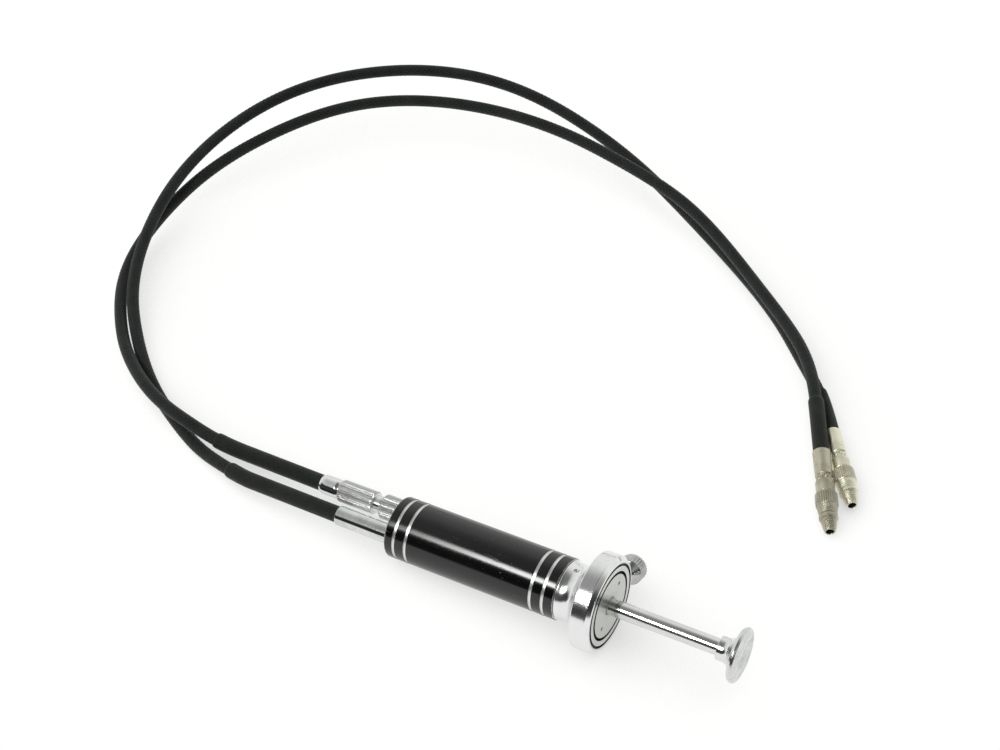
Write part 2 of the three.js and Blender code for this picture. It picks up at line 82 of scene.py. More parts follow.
# Centre lines of the cables from handle to tip: x, y, z
CABLE_LINE = {
    "f": [
        [-96.61, -3.12, -7.88], [-105.35, -1.90, -8.90], [-115.63, 0.92, -10.28],
        [-126.88, 5.97, -10.59], [-136.47, 11.38, -10.47], [-145.15, 17.76, -9.75],
        [-153.30, 25.45, -8.50], [-160.17, 33.41, -7.21], [-165.42, 41.69, -6.01],
        [-169.60, 51.04, -4.79], [-172.98, 62.06, -3.48], [-175.02, 73.01, -2.29],
        [-175.57, 83.45, -1.23], [-174.75, 93.95, -0.21], [-172.61, 104.09, 0.74],
        [-169.32, 113.36, 1.56], [-164.95, 121.65, 2.24], [-159.43, 129.18, 2.76],
        [-152.59, 136.12, 3.13], [-144.58, 142.32, 3.31], [-135.86, 147.40, 3.25],
        [-126.85, 151.14, 2.93], [-117.64, 153.51, 2.36], [-107.99, 154.57, 1.48],
        [-97.32, 154.29, 0.21], [-84.93, 152.56, -1.61], [-72.47, 149.59, -3.62],
        [-60.58, 145.36, -5.46], [-48.89, 139.94, -7.08], [-37.41, 134.03, -8.47],
        [-26.11, 127.72, -9.56], [-15.21, 120.70, -10.23], [-5.15, 112.78, -10.54],
        [4.20, 103.77, -10.58], [13.04, 94.27, -9.95], [21.19, 82.66, -9.29]],
    "t": [
        [-103.09, 4.15, -8.35], [-112.11, 3.98, -8.02], [-121.68, 4.66, -6.80],
        [-129.74, 6.37, -6.66], [-137.59, 9.49, -7.09], [-145.48, 14.18, -7.78],
        [-153.36, 20.42, -8.29], [-160.48, 28.14, -8.45], [-166.21, 36.11, -8.49],
        [-170.19, 43.99, -8.43], [-172.71, 52.23, -8.18], [-173.98, 61.51, -7.62],
        [-173.98, 71.99, -6.63], [-172.65, 82.18, -5.41], [-169.89, 91.94, -4.09],
        [-165.23, 102.60, -2.65], [-159.07, 113.39, -1.41], [-152.76, 121.94, -0.64],
        [-146.13, 128.63, -0.21], [-138.56, 134.18, 0.02], [-129.74, 138.83, 0.08],
        [-119.70, 142.45, 0.02], [-108.59, 144.92, -0.20], [-96.88, 146.05, -0.59],
        [-84.86, 145.77, -1.13], [-71.84, 143.98, -1.71], [-58.84, 141.35, -2.36],
        [-47.47, 138.14, -3.36], [-37.48, 133.77, -4.61], [-26.45, 127.29, -5.93],
        [-15.55, 119.74, -6.69], [-4.97, 111.73, -6.82], [3.13, 104.41, -6.70],
        [8.96, 97.00, -6.40], [14.95, 86.70, -6.35], [21.90, 73.60, -7.45]]}
TIP_DIR = {"f": np.array([0.5657, -0.8246, 0.0]), "t": np.array([0.4736, -0.8773, -0.0786])}
for tag in TIP_DIR:
    TIP_DIR[tag] = TIP_DIR[tag] / np.linalg.norm(TIP_DIR[tag])


# ------------------------------------------------------------------ shader nodes
class Nodes:
    """A short way to write a node tree. Inputs may be sockets or plain values."""

    def __init__(self, tree):
        self.tree = tree
        tree.nodes.clear()

    def put(self, socket, value):
        if isinstance(value, bpy.types.NodeSocket):
            self.tree.links.new(value, socket)
            return
        if isinstance(value, (tuple, list)) and len(value) == 3 and socket.type == "RGBA":
            value = (*value, 1.0)
        socket.default_value = value

    def node(self, kind, out=0, ins=None, **props):
        node = self.tree.nodes.new("ShaderNode" + kind)
        for key, value in props.items():
            setattr(node, key, value)
        for key, value in (ins or {}).items():
            self.put(node.inputs[key], value)
        return node.outputs[out]

    def math(self, operation, *values):
        ins = dict(enumerate(values))
        return self.node("Math", 0, ins, operation=operation)

    def add(self, value, plus):
        return self.math("ADD", value, plus)

    def mul(self, value, by):
        return self.math("MULTIPLY", value, by)

    def larger(self, value, other):
        return self.math("MAXIMUM", value, other)

    def ramp(self, value, over=(0, 1), to=(0, 1)):
        """The span 'over' of the value mapped to the span 'to', clamped."""
        return self.node("MapRange", 0, {"Value": value, "From Min": over[0], "From Max": over[1],
                                         "To Min": to[0], "To Max": to[1]}, clamp=True)

    def fall(self, value, over):
        return self.ramp(value, over, to=(1, 0))

    def band(self, value, up, down):
        """1 between the rising span 'up' and the falling span 'down'."""
        return self.mul(self.ramp(value, up), self.fall(value, down))

    def noise(self, vector, scale, detail, rough, twist=0.0):
        return self.node("TexNoise", 0, {"Vector": vector, "Scale": scale, "Detail": detail,
                                         "Roughness": rough, "Distortion": twist})

    def streaks(self, vector, stretch, detail, rough, turn=(0, 0, 0), twist=0.0):
        """Noise drawn out into lines by an uneven scale."""
        vector = self.node("Mapping", 0, {"Vector": vector, "Rotation": turn, "Scale": stretch})
        return self.noise(vector, scale=1.0, detail=detail, rough=rough, twist=twist)

    def specks(self, vector, scale, size, patch_scale, patch):
        """Small dots that show only inside patches of a coarser noise."""
        cells = self.node("TexVoronoi", "Distance",
                          {"Vector": vector, "Scale": scale, "Randomness": 1.0})
        gate = self.ramp(self.noise(vector, patch_scale, detail=2, rough=0.5), over=patch)
        return self.mul(self.fall(cells, over=size), gate)

    def mix(self, mask, under, over):
        return self.node("Mix", 2, {0: mask, 6: under, 7: over}, data_type="RGBA")

    def bump(self, height, strength, distance):
        return self.node("Bump", 0,
                         {"Height": height, "Strength": strength, "Distance": distance})

    def xyz(self, vector):
        node = self.tree.nodes.new("ShaderNodeSeparateXYZ")
        self.put(node.inputs[0], vector)
        return node.outputs

    def vec(self, x, y, z):
        return self.node("CombineXYZ", 0, {0: x, 1: y, 2: z})


class Material(Nodes):
    """A principled material; coordinates and radii in it are in metres."""

    def __init__(self, name):
        self.data = bpy.data.materials.new(name)
        self.data.use_nodes = True
        super().__init__(self.data.node_tree)
        out = self.tree.nodes.new("ShaderNodeOutputMaterial")
        self.bsdf = self.tree.nodes.new("ShaderNodeBsdfPrincipled")
        self.tree.links.new(self.bsdf.outputs[0], out.inputs[0])

    def set(self, **inputs):
        for key, value in inputs.items():
            self.put(self.bsdf.inputs[key.replace("_", " ")], value)

    def coords(self):
        return self.node("TexCoord", "Object")

    def axial(self, pos):
        """Place along local X, and distance from it."""
        x, y, z = self.xyz(pos)
        return x, self.math("SQRT", self.add(self.mul(y, y), self.mul(z, z)))

    def attribute(self, name):
        return self.node("Attribute", "Fac", attribute_name=name)


def scaled(colour, factor):
    return tuple(v * factor for v in colour)


# --------------------------------------------------------------------- materials
def turned_metal(name, base, rough, rings, stain, spots, stain_colour=None, cad=False,
                 scratch=0.2, extra=None):
    """Lathe-turned metal about local X: fine rings, soft stains, specks, hairline scratches."""
    mat = Material(name)
    pos = mat.coords()
    if cad:      # CAD meshes are not built along X, so their coordinates are turned to it
        pos = mat.node("Mapping", 0, {"Vector": pos, "Rotation": (0, TILT, 0)})
    x, radius = mat.axial(pos)
    ring_at = mat.vec(mat.mul(x, by=1.0), radius, 0.0)
    fine = mat.noise(ring_at, scale=9000, detail=4, rough=0.6)
    coarse = mat.noise(ring_at, scale=1500, detail=2, rough=0.5)
    cloud = mat.noise(pos, scale=160, detail=5, rough=0.6, twist=0.4)
    scratches = mat.ramp(mat.streaks(pos, stretch=(180, 3600, 1400), turn=(0.3, 0.5, 0.9),
                                     detail=2, rough=0.5, twist=0.15), over=(0.66, 0.7))
    pits = mat.specks(pos, scale=900.0, size=(0.10, 0.2), patch_scale=420, patch=(0.56, 0.66))
    colour = mat.mix(mat.ramp(cloud, over=(0.5, 0.75), to=(0.0, stain)), base,
                     stain_colour or scaled(base, 0.62))
    ring_tint = 0.12 if rings > 0 else 0.0
    colour = mat.mix(mat.ramp(coarse, over=(0.35, 0.7), to=(0.0, ring_tint)), colour,
                     scaled(base, 0.8))
    colour = mat.mix(mat.mul(pits, by=spots), colour, over=(0.12, 0.10, 0.08))
    cloudy = mat.ramp(cloud, over=(0.3, 0.75), to=(rough * 0.8, rough * 1.35))
    rough = mat.add(cloudy, mat.mul(scratches, by=0.25 * scratch))
    rough = mat.add(rough, mat.mul(pits, by=0.35 * spots))
    height = mat.add(mat.mul(fine, by=0.6 * rings), mat.mul(scratches, by=-0.25 * scratch))
    normal = mat.bump(height, strength=0.5, distance=0.00002)
    if extra:
        colour, rough = extra(mat, pos, x, radius, colour, rough, cloud)
    mat.set(Base_Color=colour, Metallic=1.0, Roughness=rough, Normal=normal,
            Anisotropic=0.35 if rings > 0.2 else 0.0)
    return mat.data


def anodised():
    """Gloss black anodise; the turned grooves and the worn edges show bright metal."""
    mat = Material("black_anodise")
    pos = mat.coords()
    x, radius = mat.axial(pos)
    fine = mat.noise(mat.vec(x, radius, 0.0), scale=12000, detail=3, rough=0.6)
    cloud = mat.noise(pos, scale=130, detail=5, rough=0.6, twist=0.3)
    scratches = mat.ramp(mat.streaks(pos, stretch=(300, 4200, 1900), turn=(0.9, 0.2, 0.35),
                                     detail=2, rough=0.5, twist=0.2), over=(0.665, 0.69))
    patches = mat.ramp(mat.noise(pos, scale=90, detail=2, rough=0.5), over=(0.45, 0.6))
    scratches = mat.mul(scratches, patches)
    dust = mat.specks(pos, scale=520.0, size=(0.045, 0.075), patch_scale=260, patch=(0.52, 0.6))

    in_groove = mat.fall(radius, over=(0.00739, 0.00746))
    in_groove = mat.mul(in_groove, mat.ramp(radius, over=(0.0070, 0.0071)))
    ends = mat.larger(mat.fall(x, over=(-0.0564, -0.0560)),
                      mat.ramp(x, over=(-0.01145, -0.01127)))
    flakes = mat.noise(pos, scale=1900, detail=4, rough=0.7)
    worn = mat.mul(ends, mat.ramp(flakes, over=(0.5, 0.6)))
    metal = mat.larger(in_groove, mat.mul(worn, by=0.9))

    black = mat.mix(mat.ramp(cloud, over=(0.35, 0.75)),
                    under=(0.0020, 0.0024, 0.0021), over=(0.0042, 0.0047, 0.0041))
    black = mat.mix(mat.mul(scratches, by=0.35), black, over=(0.09, 0.09, 0.09))
    black = mat.mix(mat.mul(dust, by=0.55), black, over=(0.22, 0.21, 0.2))
    bright = mat.mix(mat.ramp(fine, over=(0.3, 0.7)),
                     under=(0.88, 0.88, 0.87), over=(0.70, 0.70, 0.70))
    marks = mat.larger(scratches, dust)
    rough = mat.add(mat.ramp(cloud, over=(0.3, 0.75), to=(0.10, 0.17)), mat.mul(marks, by=0.25))
    rough = mat.larger(rough, mat.mul(metal, by=0.3))
    height = mat.add(mat.mul(fine, by=0.5), mat.mul(scratches, by=-0.4))
    mat.set(Base_Color=mat.mix(metal, black, bright), Metallic=metal, Roughness=rough,
            Normal=mat.bump(height, strength=0.25, distance=0.00001), IOR=1.55)
    return mat.data


def face_paint(mat, pos, x, radius, colour, rough, cloud):
    """Black filling in the two circles of the flange's face."""
    outer = mat.band(radius, up=(0.00966, 0.00970), down=(0.01030, 0.01034))
    inner = mat.band(radius, up=(0.00772, 0.00777), down=(0.00846, 0.00850))
    near_face = mat.ramp(x, over=(-0.0009, -0.0008))
    paint = mat.mul(mat.larger(outer, inner), near_face)
    chips = mat.noise(pos, scale=2600, detail=3, rough=0.6)
    paint = mat.mul(paint, mat.ramp(chips, over=(0.62, 0.75), to=(1.0, 0.75)))
    face = mat.mul(mat.ramp(x, over=(-0.00012, -0.00004)),
                   mat.fall(radius, over=(0.0105, 0.0107)))
    dulled = mat.mul(face, mat.ramp(cloud, over=(0.35, 0.65), to=(0.75, 1.0)))
    colour = mat.mix(dulled, colour, over=(0.60, 0.615, 0.585))
    colour = mat.mix(paint, colour, over=(0.006, 0.006, 0.006))
    rough = mat.add(rough, mat.mul(paint, by=0.3))
    return colour, mat.add(rough, mat.mul(face, by=0.06))


def plate_smear_and_shade(mat, pos, x, radius, colour, rough, cloud):
    """Random smears on the plate, and painted shade: darker round the rod's bore and in its small
    holes and recesses.
    """
    smear = mat.noise(pos, scale=480, detail=5, rough=0.65, twist=0.6)
    colour = mat.mix(mat.ramp(smear, over=(0.5, 0.68), to=(0.0, 0.55)), colour,
                     over=(0.44, 0.455, 0.42))
    wobble = mat.math("SUBTRACT", mat.noise(pos, scale=900, detail=4, rough=0.65), 0.5)
    # Painted shade round the rod's bore, standing in for the rod's shadow and reflection on the
    # plate
    bore_shade = mat.fall(mat.add(radius, mat.mul(wobble, by=0.0022)), over=(0.0021, 0.0042))
    # Painted shade in the holes and in every recess behind the face
    holes = mat.fall(x, over=(-0.0005, -0.0001))
    painted_shade = mat.larger(mat.mul(bore_shade, by=0.62), mat.mul(holes, by=0.45))
    colour = mat.mix(painted_shade, colour, over=(0.16, 0.165, 0.15))
    colour, rough = face_paint(mat, pos, x, radius, colour, rough, cloud)
    return colour, mat.add(rough, mat.mul(bore_shade, by=0.12))


def button_wear(mat, pos, x, radius, colour, rough, cloud):
    """The thumb has dulled the face of the button, more in some places than others."""
    worn = mat.noise(pos, scale=330, detail=6, rough=0.62, twist=0.8)
    face = mat.ramp(x, over=(0.0318, 0.0328))
    dulled = mat.mul(face, mat.ramp(worn, over=(0.42, 0.62), to=(0.35, 0.95)))
    colour = mat.mix(dulled, colour, over=(0.50, 0.525, 0.515))
    rim = mat.mul(mat.ramp(radius, over=(0.0054, 0.0062)), by=0.5)
    colour = mat.mix(rim, colour, over=(0.74, 0.75, 0.75))
    added = mat.mul(face, mat.ramp(worn, over=(0.4, 0.65), to=(0.05, 0.16)))
    return colour, mat.add(rough, added)


def rod_tracks_and_shade(mat, pos, x, radius, colour, rough, cloud):
    """Painted shade on the rod next to the plate, and a darker film along wear tracks."""
    track = mat.ramp(mat.streaks(pos, stretch=(60, 1500, 1500), detail=3, rough=0.6),
                     over=(0.52, 0.75))
    near = mat.fall(x, over=(0.0, 0.009))
    colour = mat.mix(mat.mul(track, by=0.25), colour, over=(0.42, 0.40, 0.37))
    # Painted shade: the rod darkens towards the plate
    colour = mat.mix(mat.mul(near, by=0.22), colour, over=(0.3, 0.3, 0.27))
    return colour, mat.add(rough, mat.mul(track, by=0.12))


def knurl_valley_shade(crest, depth):
    """Painted shade in the bottom of a knurl whose crests stand at this radius."""
    def extra(mat, pos, x, radius, colour, rough, cloud):
        low = mat.fall(radius, over=((crest - depth) * MM, (crest - depth * 0.45) * MM))
        low = mat.mul(low, mat.ramp(cloud, over=(0.4, 0.7), to=(0.95, 0.55)))
        floor_span = ((crest - depth - 0.10) * MM, (crest - depth - 0.05) * MM)
        low = mat.mul(low, mat.ramp(radius, over=floor_span))
        # Painted shade: the knurl's valleys are darkened
        colour = mat.mix(low, colour, over=(0.26, 0.265, 0.26))
        return colour, mat.add(rough, mat.mul(low, by=0.25))
    return extra


def cloth(name, light, painted_shade, fibre, mottled):
    """Woven thread: attribute 'thread' runs across a strand, 'crown' is its height."""
    mat = Material(name)
    pos = mat.coords()
    fibres_per_strand = 5
    fibres = mat.math("SINE", mat.mul(mat.attribute("thread"), 2 * math.pi * fibres_per_strand))
    fuzz = mat.noise(pos, scale=5200, detail=4, rough=0.7)
    patch = mat.noise(pos, scale=210, detail=4, rough=0.6, twist=0.5)
    # Painted shade: the colour darkens from the strands' crowns into the hollows of the weave
    colour = mat.mix(mat.ramp(mat.attribute("crown"), over=(0.15, 0.95)), painted_shade, light)
    colour = mat.mix(mat.mul(mat.ramp(patch, over=(0.42, 0.72)), by=mottled), colour,
                     scaled(light, 1.9))
    colour = mat.mix(mat.mul(mat.ramp(fuzz, over=(0.62, 0.72)), by=0.35), colour,
                     scaled(light, 3.2))
    height = mat.add(mat.mul(fibres, by=0.35 * fibre), mat.mul(fuzz, by=0.9))
    mat.set(Base_Color=colour, Roughness=mat.ramp(fuzz, over=(0.3, 0.7), to=(0.72, 0.95)),
            Normal=mat.bump(height, strength=0.6, distance=0.00003),
            Sheen_Weight=0.22, Sheen_Roughness=0.45, Specular_IOR_Level=0.25)
    return mat.data


def coil_metal():
    """Wire turns drawn as waves of the attribute 'along', which is in metres."""
    mat = Material("coil_wire")
    turns_per_metre = 2200
    wave = mat.math("SINE", mat.mul(mat.attribute("along"), 2 * math.pi * turns_per_metre))
    cloud = mat.noise(mat.coords(), scale=300, detail=3, rough=0.6)
    # Painted shade: the colour darkens between the wire's turns
    colour = mat.mix(mat.ramp(wave, over=(-0.6, 0.6)),
                     under=(0.18, 0.17, 0.16), over=(0.62, 0.62, 0.62))
    mat.set(Base_Color=colour, Metallic=1.0, Roughness=mat.ramp(cloud, to=(0.25, 0.45)),
            Normal=mat.bump(wave, strength=0.8, distance=0.00008))
    return mat.data


# key: material name, base colour, roughness, rings, stain, spots, further settings
METALS = {
    "flange": ("polished_aluminium", (0.86, 0.86, 0.865), 0.17, 0.5, 0.25, 0.35,
               dict(extra=face_paint)),
    "plate": ("turned_aluminium", (0.64, 0.655, 0.62), 0.26, 0.6, 0.3, 0.4,
              dict(extra=plate_smear_and_shade)),
    "rod": ("chromed_rod", (0.80, 0.80, 0.80), 0.12, 0.1, 0.2, 0.25, dict(extra=rod_tracks_and_shade)),
    "chrome": ("chrome_plate", (0.83, 0.83, 0.835), 0.07, 0.08, 0.22, 0.45, {}),
    "button": ("thumb_worn_chrome", (0.80, 0.80, 0.805), 0.14, 0.1, 0.2, 0.35,
               dict(extra=button_wear)),
    "knob": ("handled_knob", (0.55, 0.555, 0.55), 0.2, 0.2, 0.5, 0.6,
             dict(stain_colour=(0.2, 0.21, 0.2), scratch=0.3)),
    "satin": ("dulled_chrome", (0.74, 0.755, 0.745), 0.045, 0.15, 0.6, 0.5,
              dict(stain_colour=(0.34, 0.355, 0.34), scratch=0.3)),
    "adjuster": ("chrome_knurled_sleeve", (0.80, 0.80, 0.80), 0.11, 0.05, 0.35, 0.5,
                 dict(extra=knurl_valley_shade(ADJUSTER_RADIUS, ADJUSTER_KNURL))),
    "nut": ("chrome_knurled_nut", (0.72, 0.73, 0.73), 0.11, 0.05, 0.35, 0.5,
            dict(extra=knurl_valley_shade(NUT_RADIUS, NUT_KNURL))),
    "tip_t": ("nickel_plate", (0.57, 0.54, 0.43), 0.42, 0.25, 0.6, 0.7,
              dict(stain_colour=(0.29, 0.265, 0.2), scratch=0.35)),
    "tip_f": ("nickel_plate_clean", (0.88, 0.85, 0.68), 0.40, 0.25, 0.45, 0.6,
              dict(stain_colour=(0.45, 0.42, 0.31), scratch=0.3)),
    "collar_f": ("nickel_knurled_clean", (0.70, 0.665, 0.535), 0.36, 0.1, 0.6, 0.6,
                 dict(stain_colour=(0.33, 0.31, 0.23))),
    "collar_t": ("nickel_knurled", (0.537, 0.512, 0.403), 0.38, 0.1, 0.6, 0.6,
                 dict(stain_colour=(0.2, 0.185, 0.13))),
    "steel": ("drawn_steel", (0.56, 0.57, 0.58), 0.28, 0.0, 0.3, 0.3, {}),
    "steel_cad": ("turned_steel", (0.56, 0.57, 0.58), 0.3, 0.3, 0.3, 0.3, dict(cad=True)),
    "brass": ("turned_brass", (0.78, 0.58, 0.27), 0.28, 0.5, 0.4, 0.3,
              dict(stain_colour=(0.42, 0.28, 0.12), cad=True)),
    # near-black colour for the mouth of the tips' bore: painted shade
    "mouth_shade": ("oxidised_bore", (0.035, 0.035, 0.03), 0.5, 0.2, 0.5, 0.2, {}),
}
MAT = {"barrel": anodised()}
for key, (*settings, more) in METALS.items():
    MAT[key] = turned_metal(*settings, **more)
MAT["sheath"] = cloth("woven_sheath", light=(0.016, 0.0195, 0.0175),
                      painted_shade=(0.0045, 0.0055, 0.005), fibre=1.0, mottled=0.4)
MAT["sleeve"] = cloth("sleeve_cloth", light=(0.0165, 0.0205, 0.017),
                      painted_shade=(0.005, 0.006, 0.0055), fibre=0.7, mottled=0.35)
MAT["coil"] = coil_metal()


# -------------------------------------------------------------------- mesh tools
def add_object(name, mesh):
    ob = bpy.data.objects.new(name, mesh)
    bpy.context.scene.collection.objects.link(ob)
    return ob


def mesh_object(name, verts, faces, material, matrix, sharp):
    """Smooth-shaded object with edges over 'sharp' degrees kept crisp; verts in metres."""
    mesh = bpy.data.meshes.new(name)
    mesh.from_pydata([tuple(v) for v in verts], [], faces)
    mesh.validate(clean_customdata=False)
    bm = bmesh.new()
    bm.from_mesh(mesh)
    bmesh.ops.recalc_face_normals(bm, faces=bm.faces)
    bm.to_mesh(mesh)
    bm.free()
    for polygon in mesh.polygons:
        polygon.use_smooth = True
    mesh.set_sharp_from_angle(angle=math.radians(sharp))
    mesh.materials.append(material)
    ob = add_object(name, mesh)
    ob.matrix_world = matrix
    return ob


def rounded(profile, closed):
    """[(x, radius, fillet, knurl)] with arcs put in at the corners that ask for one."""
    points = [tuple(p) + (0.0,) * (4 - len(p)) for p in profile]
    out, count = [], len(points)
    for i, (x, radius, fillet, knurl) in enumerate(points):
        if fillet <= 0 or (not closed and i in (0, count - 1)):
            out.append((x, radius, knurl))
            continue
        corner = np.array((x, radius))
        back = np.array(points[i - 1][:2]) - corner
        ahead = np.array(points[(i + 1) % count][:2]) - corner
        back_len, ahead_len = np.linalg.norm(back), np.linalg.norm(ahead)
        back, ahead = back / back_len, ahead / ahead_len
        half = math.acos(max(-1, min(1, float(back @ ahead)))) / 2
        trim = min(fillet / math.tan(half), back_len * 0.48, ahead_len * 0.48)
        arc = trim * math.tan(half)
        middle = (back + ahead) / np.linalg.norm(back + ahead)
        centre = corner + middle * (arc / math.sin(half))
        first, last = corner + back * trim - centre, corner + ahead * trim - centre
        angle = math.atan2(first[1], first[0])
        sweep = math.atan2(last[1], last[0]) - angle
        sweep = (sweep + math.pi) % (2 * math.pi) - math.pi
        steps = max(3, int(abs(math.degrees(sweep)) / 18) + 1)
        for j in range(steps + 1):
            turn = angle + sweep * j / steps
            point = centre + arc * np.array((math.cos(turn), math.sin(turn)))
            out.append((float(point[0]), float(point[1]), knurl))
    return out


def supported(profile, closed):
    """Extra rings just inside the ends of long faces, so that their shading stays straight."""
    longest, inset = 0.45, 0.07
    out, count = [], len(profile)
    for i in range(count):
        out.append(profile[i])
        if i == count - 1 and not closed:
            break
        here = np.array(profile[i], float)
        there = np.array(profile[(i + 1) % count], float)
        length = math.hypot(there[0] - here[0], there[1] - here[1])
        if length > longest and here[1] > 0 and there[1] > 0:
            for part in (inset / length, 1 - inset / length):
                out.append(tuple(here + (there - here) * part))
    return out


def angles(count):
    return np.arange(count) * 2 * math.pi / count


def revolve(name, rings, segs, material, matrix, sharp):
    """Skin rings (x, radius or radii) about local X.

    Ends of radius 0 become poles; otherwise the last ring is joined to the first.
    """
    turn = angles(segs)
    rows, verts = [], []
    for x, radii in rings:
        if not np.any(radii):
            rows.append([len(verts)] * segs)
            verts.append((x * MM, 0, 0))
            continue
        radii = np.broadcast_to(np.asarray(radii, float), (segs,)) * MM
        rows.append(range(len(verts), len(verts) + segs))
        verts.extend(zip([x * MM] * segs, radii * np.cos(turn), radii * np.sin(turn)))
    closed = np.any(rings[0][1])
    faces, count = [], len(rows)
    for i in range(count if closed else count - 1):
        row, after = rows[i], rows[(i + 1) % count]
        for j in range(segs):
            j2 = (j + 1) % segs
            corners = list(dict.fromkeys([row[j], row[j2], after[j2], after[j]]))
            if len(corners) > 2:
                faces.append(corners)
    return mesh_object(name, verts, faces, material, matrix, sharp)


TOOTH = np.array([0.0, 0.02, 0.35, 0.85, 1.0, 0.85, 0.35, 0.02])   # share of the knurl's depth


def lathe(name, profile, material, matrix, segs=0, teeth=0):
    """Closed solid about local X from points (x, radius, fillet, knurl depth).

    Give segs for a plain solid, or teeth for one with a knurl.
    """
    closed = not (profile[0][1] == 0 and profile[-1][1] == 0)
    cut = np.tile(TOOTH, teeth) if teeth else np.zeros(segs)
    points = supported(rounded(profile, closed), closed)
    rings = [(x, radius - knurl * cut) for x, radius, knurl in points]
    return revolve(name, rings, len(cut), material, matrix, sharp=32)


def threaded(name, span, radii, pitch, depth, material, matrix, head, tail):
    """Helical ridges on a cone; head and tail are plain points before and after."""
    segs, rings_per_turn = 72, 10
    (x0, x1), (r0, r1) = span, radii
    count = int((x1 - x0) / pitch * rings_per_turn)
    turn = angles(segs) / (2 * math.pi)
    rings = list(head)
    for i in range(count + 1):
        x = x0 + (x1 - x0) * i / count
        phase = ((x - x0) / pitch - turn) % 1.0
        ridge = np.clip(1.25 - np.abs(phase - 0.5) * 3.4, 0, 1)
        fade = min(1.0, (x - x0) / (pitch * 0.8), (x1 - x) / (pitch * 0.8))
        rings.append((x, r0 + (r1 - r0) * i / count - depth * (1 - ridge * fade)))
    return revolve(name, rings + list(tail), segs, material, matrix, sharp=40)


def subtract(ob, cutter):
    cut = ob.modifiers.new("cut", "BOOLEAN")
    cut.operation, cut.object, cut.solver = "DIFFERENCE", cutter, "EXACT"
    bpy.context.view_layer.update()
    graph = bpy.context.evaluated_depsgraph_get()
    mesh = bpy.data.meshes.new_from_object(ob.evaluated_get(graph))
    ob.modifiers.remove(cut)
    old = ob.data
    ob.data = mesh
    bpy.data.meshes.remove(old)
    bpy.data.objects.remove(cutter)
    mesh.set_sharp_from_angle(angle=math.radians(32))


def drill(ob, start, end, radius, segs, matrix):
    """Cut a round hole along the matrix's X."""
    profile = [(start, 0), (start, radius), (end, radius), (end, 0)]
    subtract(ob, lathe("drill", profile, ob.data.materials[0], matrix, segs))


def attach(ob, body, replaces=None):
    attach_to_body(ob, body)
    if replaces:
        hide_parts(replaces)


# -------------------------------------------------------------------- cable paths
def spline(points, start_dir, end_dir):
    """Clamped cubic through the points, sampled about every 0.25 mm."""
    points = np.array(points, float)
    gap = np.linalg.norm(np.diff(points, axis=0), axis=1)
    count = len(points)
    system, right = np.zeros((count, count)), np.zeros((count, 3))
    system[0, 0] = system[-1, -1] = 1
    right[0], right[-1] = start_dir, end_dir
    for i in range(1, count - 1):
        before, after = gap[i - 1], gap[i]
        system[i, i - 1], system[i, i], system[i, i + 1] = after, 2 * (before + after), before
        right[i] = 3 * (after * (points[i] - points[i - 1]) / before
                        + before * (points[i + 1] - points[i]) / after)
    slope = np.linalg.solve(system, right)
    out = []
    for i in range(count - 1):
        steps = max(2, int(gap[i] / 0.25))
        u = (np.arange(steps) / steps)[:, None]
        out.append((2 * u**3 - 3 * u**2 + 1) * points[i]
                   + (u**3 - 2 * u**2 + u) * gap[i] * slope[i]
                   + (-2 * u**3 + 3 * u**2) * points[i + 1]
                   + (u**3 - u**2) * gap[i] * slope[i + 1])
    out.append(points[-1:])
    return np.vstack(out)


class Path:
    """A cable's centre line, measured by its length from the handle end."""
    TAIL = 3.3       # straight run past the last point, inside the tip
    REACH = 0.35     # half the span over which a direction is taken

    def __init__(self, tag):
        axis, tip_dir, line = np.array(AXIS), TIP_DIR[tag], CABLE_LINE[tag]
        start = CABLE_START[tag] * axis + np.array((0, CABLE_Y[tag], 0))
        body = spline(line, -axis, tip_dir)
        head = start + (np.array(line[0]) - start) * np.linspace(0, 1, 100)[:-1, None]
        tail = body[-1] + tip_dir * np.linspace(0, self.TAIL, 16)[1:, None]
        self.points = np.vstack([head, body, tail])
        steps = np.linalg.norm(np.diff(self.points, axis=0), axis=1)
        self.lengths = np.r_[0, np.cumsum(steps)]
        self.total = self.lengths[-1]
        self.tip = self.total - self.TAIL

    def at(self, dist):
        columns = [np.interp(dist, self.lengths, self.points[:, i]) for i in range(3)]
        return np.stack(columns, -1)

    def frames(self, dist):
        """Points, and the two directions across the path there."""
        reach = self.REACH
        along = self.at(dist + reach) - self.at(dist - reach)
        first = self.at(np.full_like(dist, 2 * reach)) - self.at(np.zeros_like(dist))
        along = np.where((dist - reach < 0)[:, None], first, along)
        past_end = (dist + reach > self.total)[:, None]
        along = np.where(past_end, self.points[-1] - self.points[-4], along)
        along /= np.linalg.norm(along, axis=1)[:, None]
        up = np.array((0, 0, 1.0))
        normal = up - (along @ up)[:, None] * along
        normal /= np.linalg.norm(normal, axis=1)[:, None]
        return self.at(dist), normal, np.cross(along, normal)


def sweep_rings(centres, normal, side, radius, turn):
    """Points on circles about the centres; radius is one number or a grid."""
    return (centres[:, None] + radius * (np.cos(turn)[..., None] * normal[:, None]
                                         + np.sin(turn)[..., None] * side[:, None]))


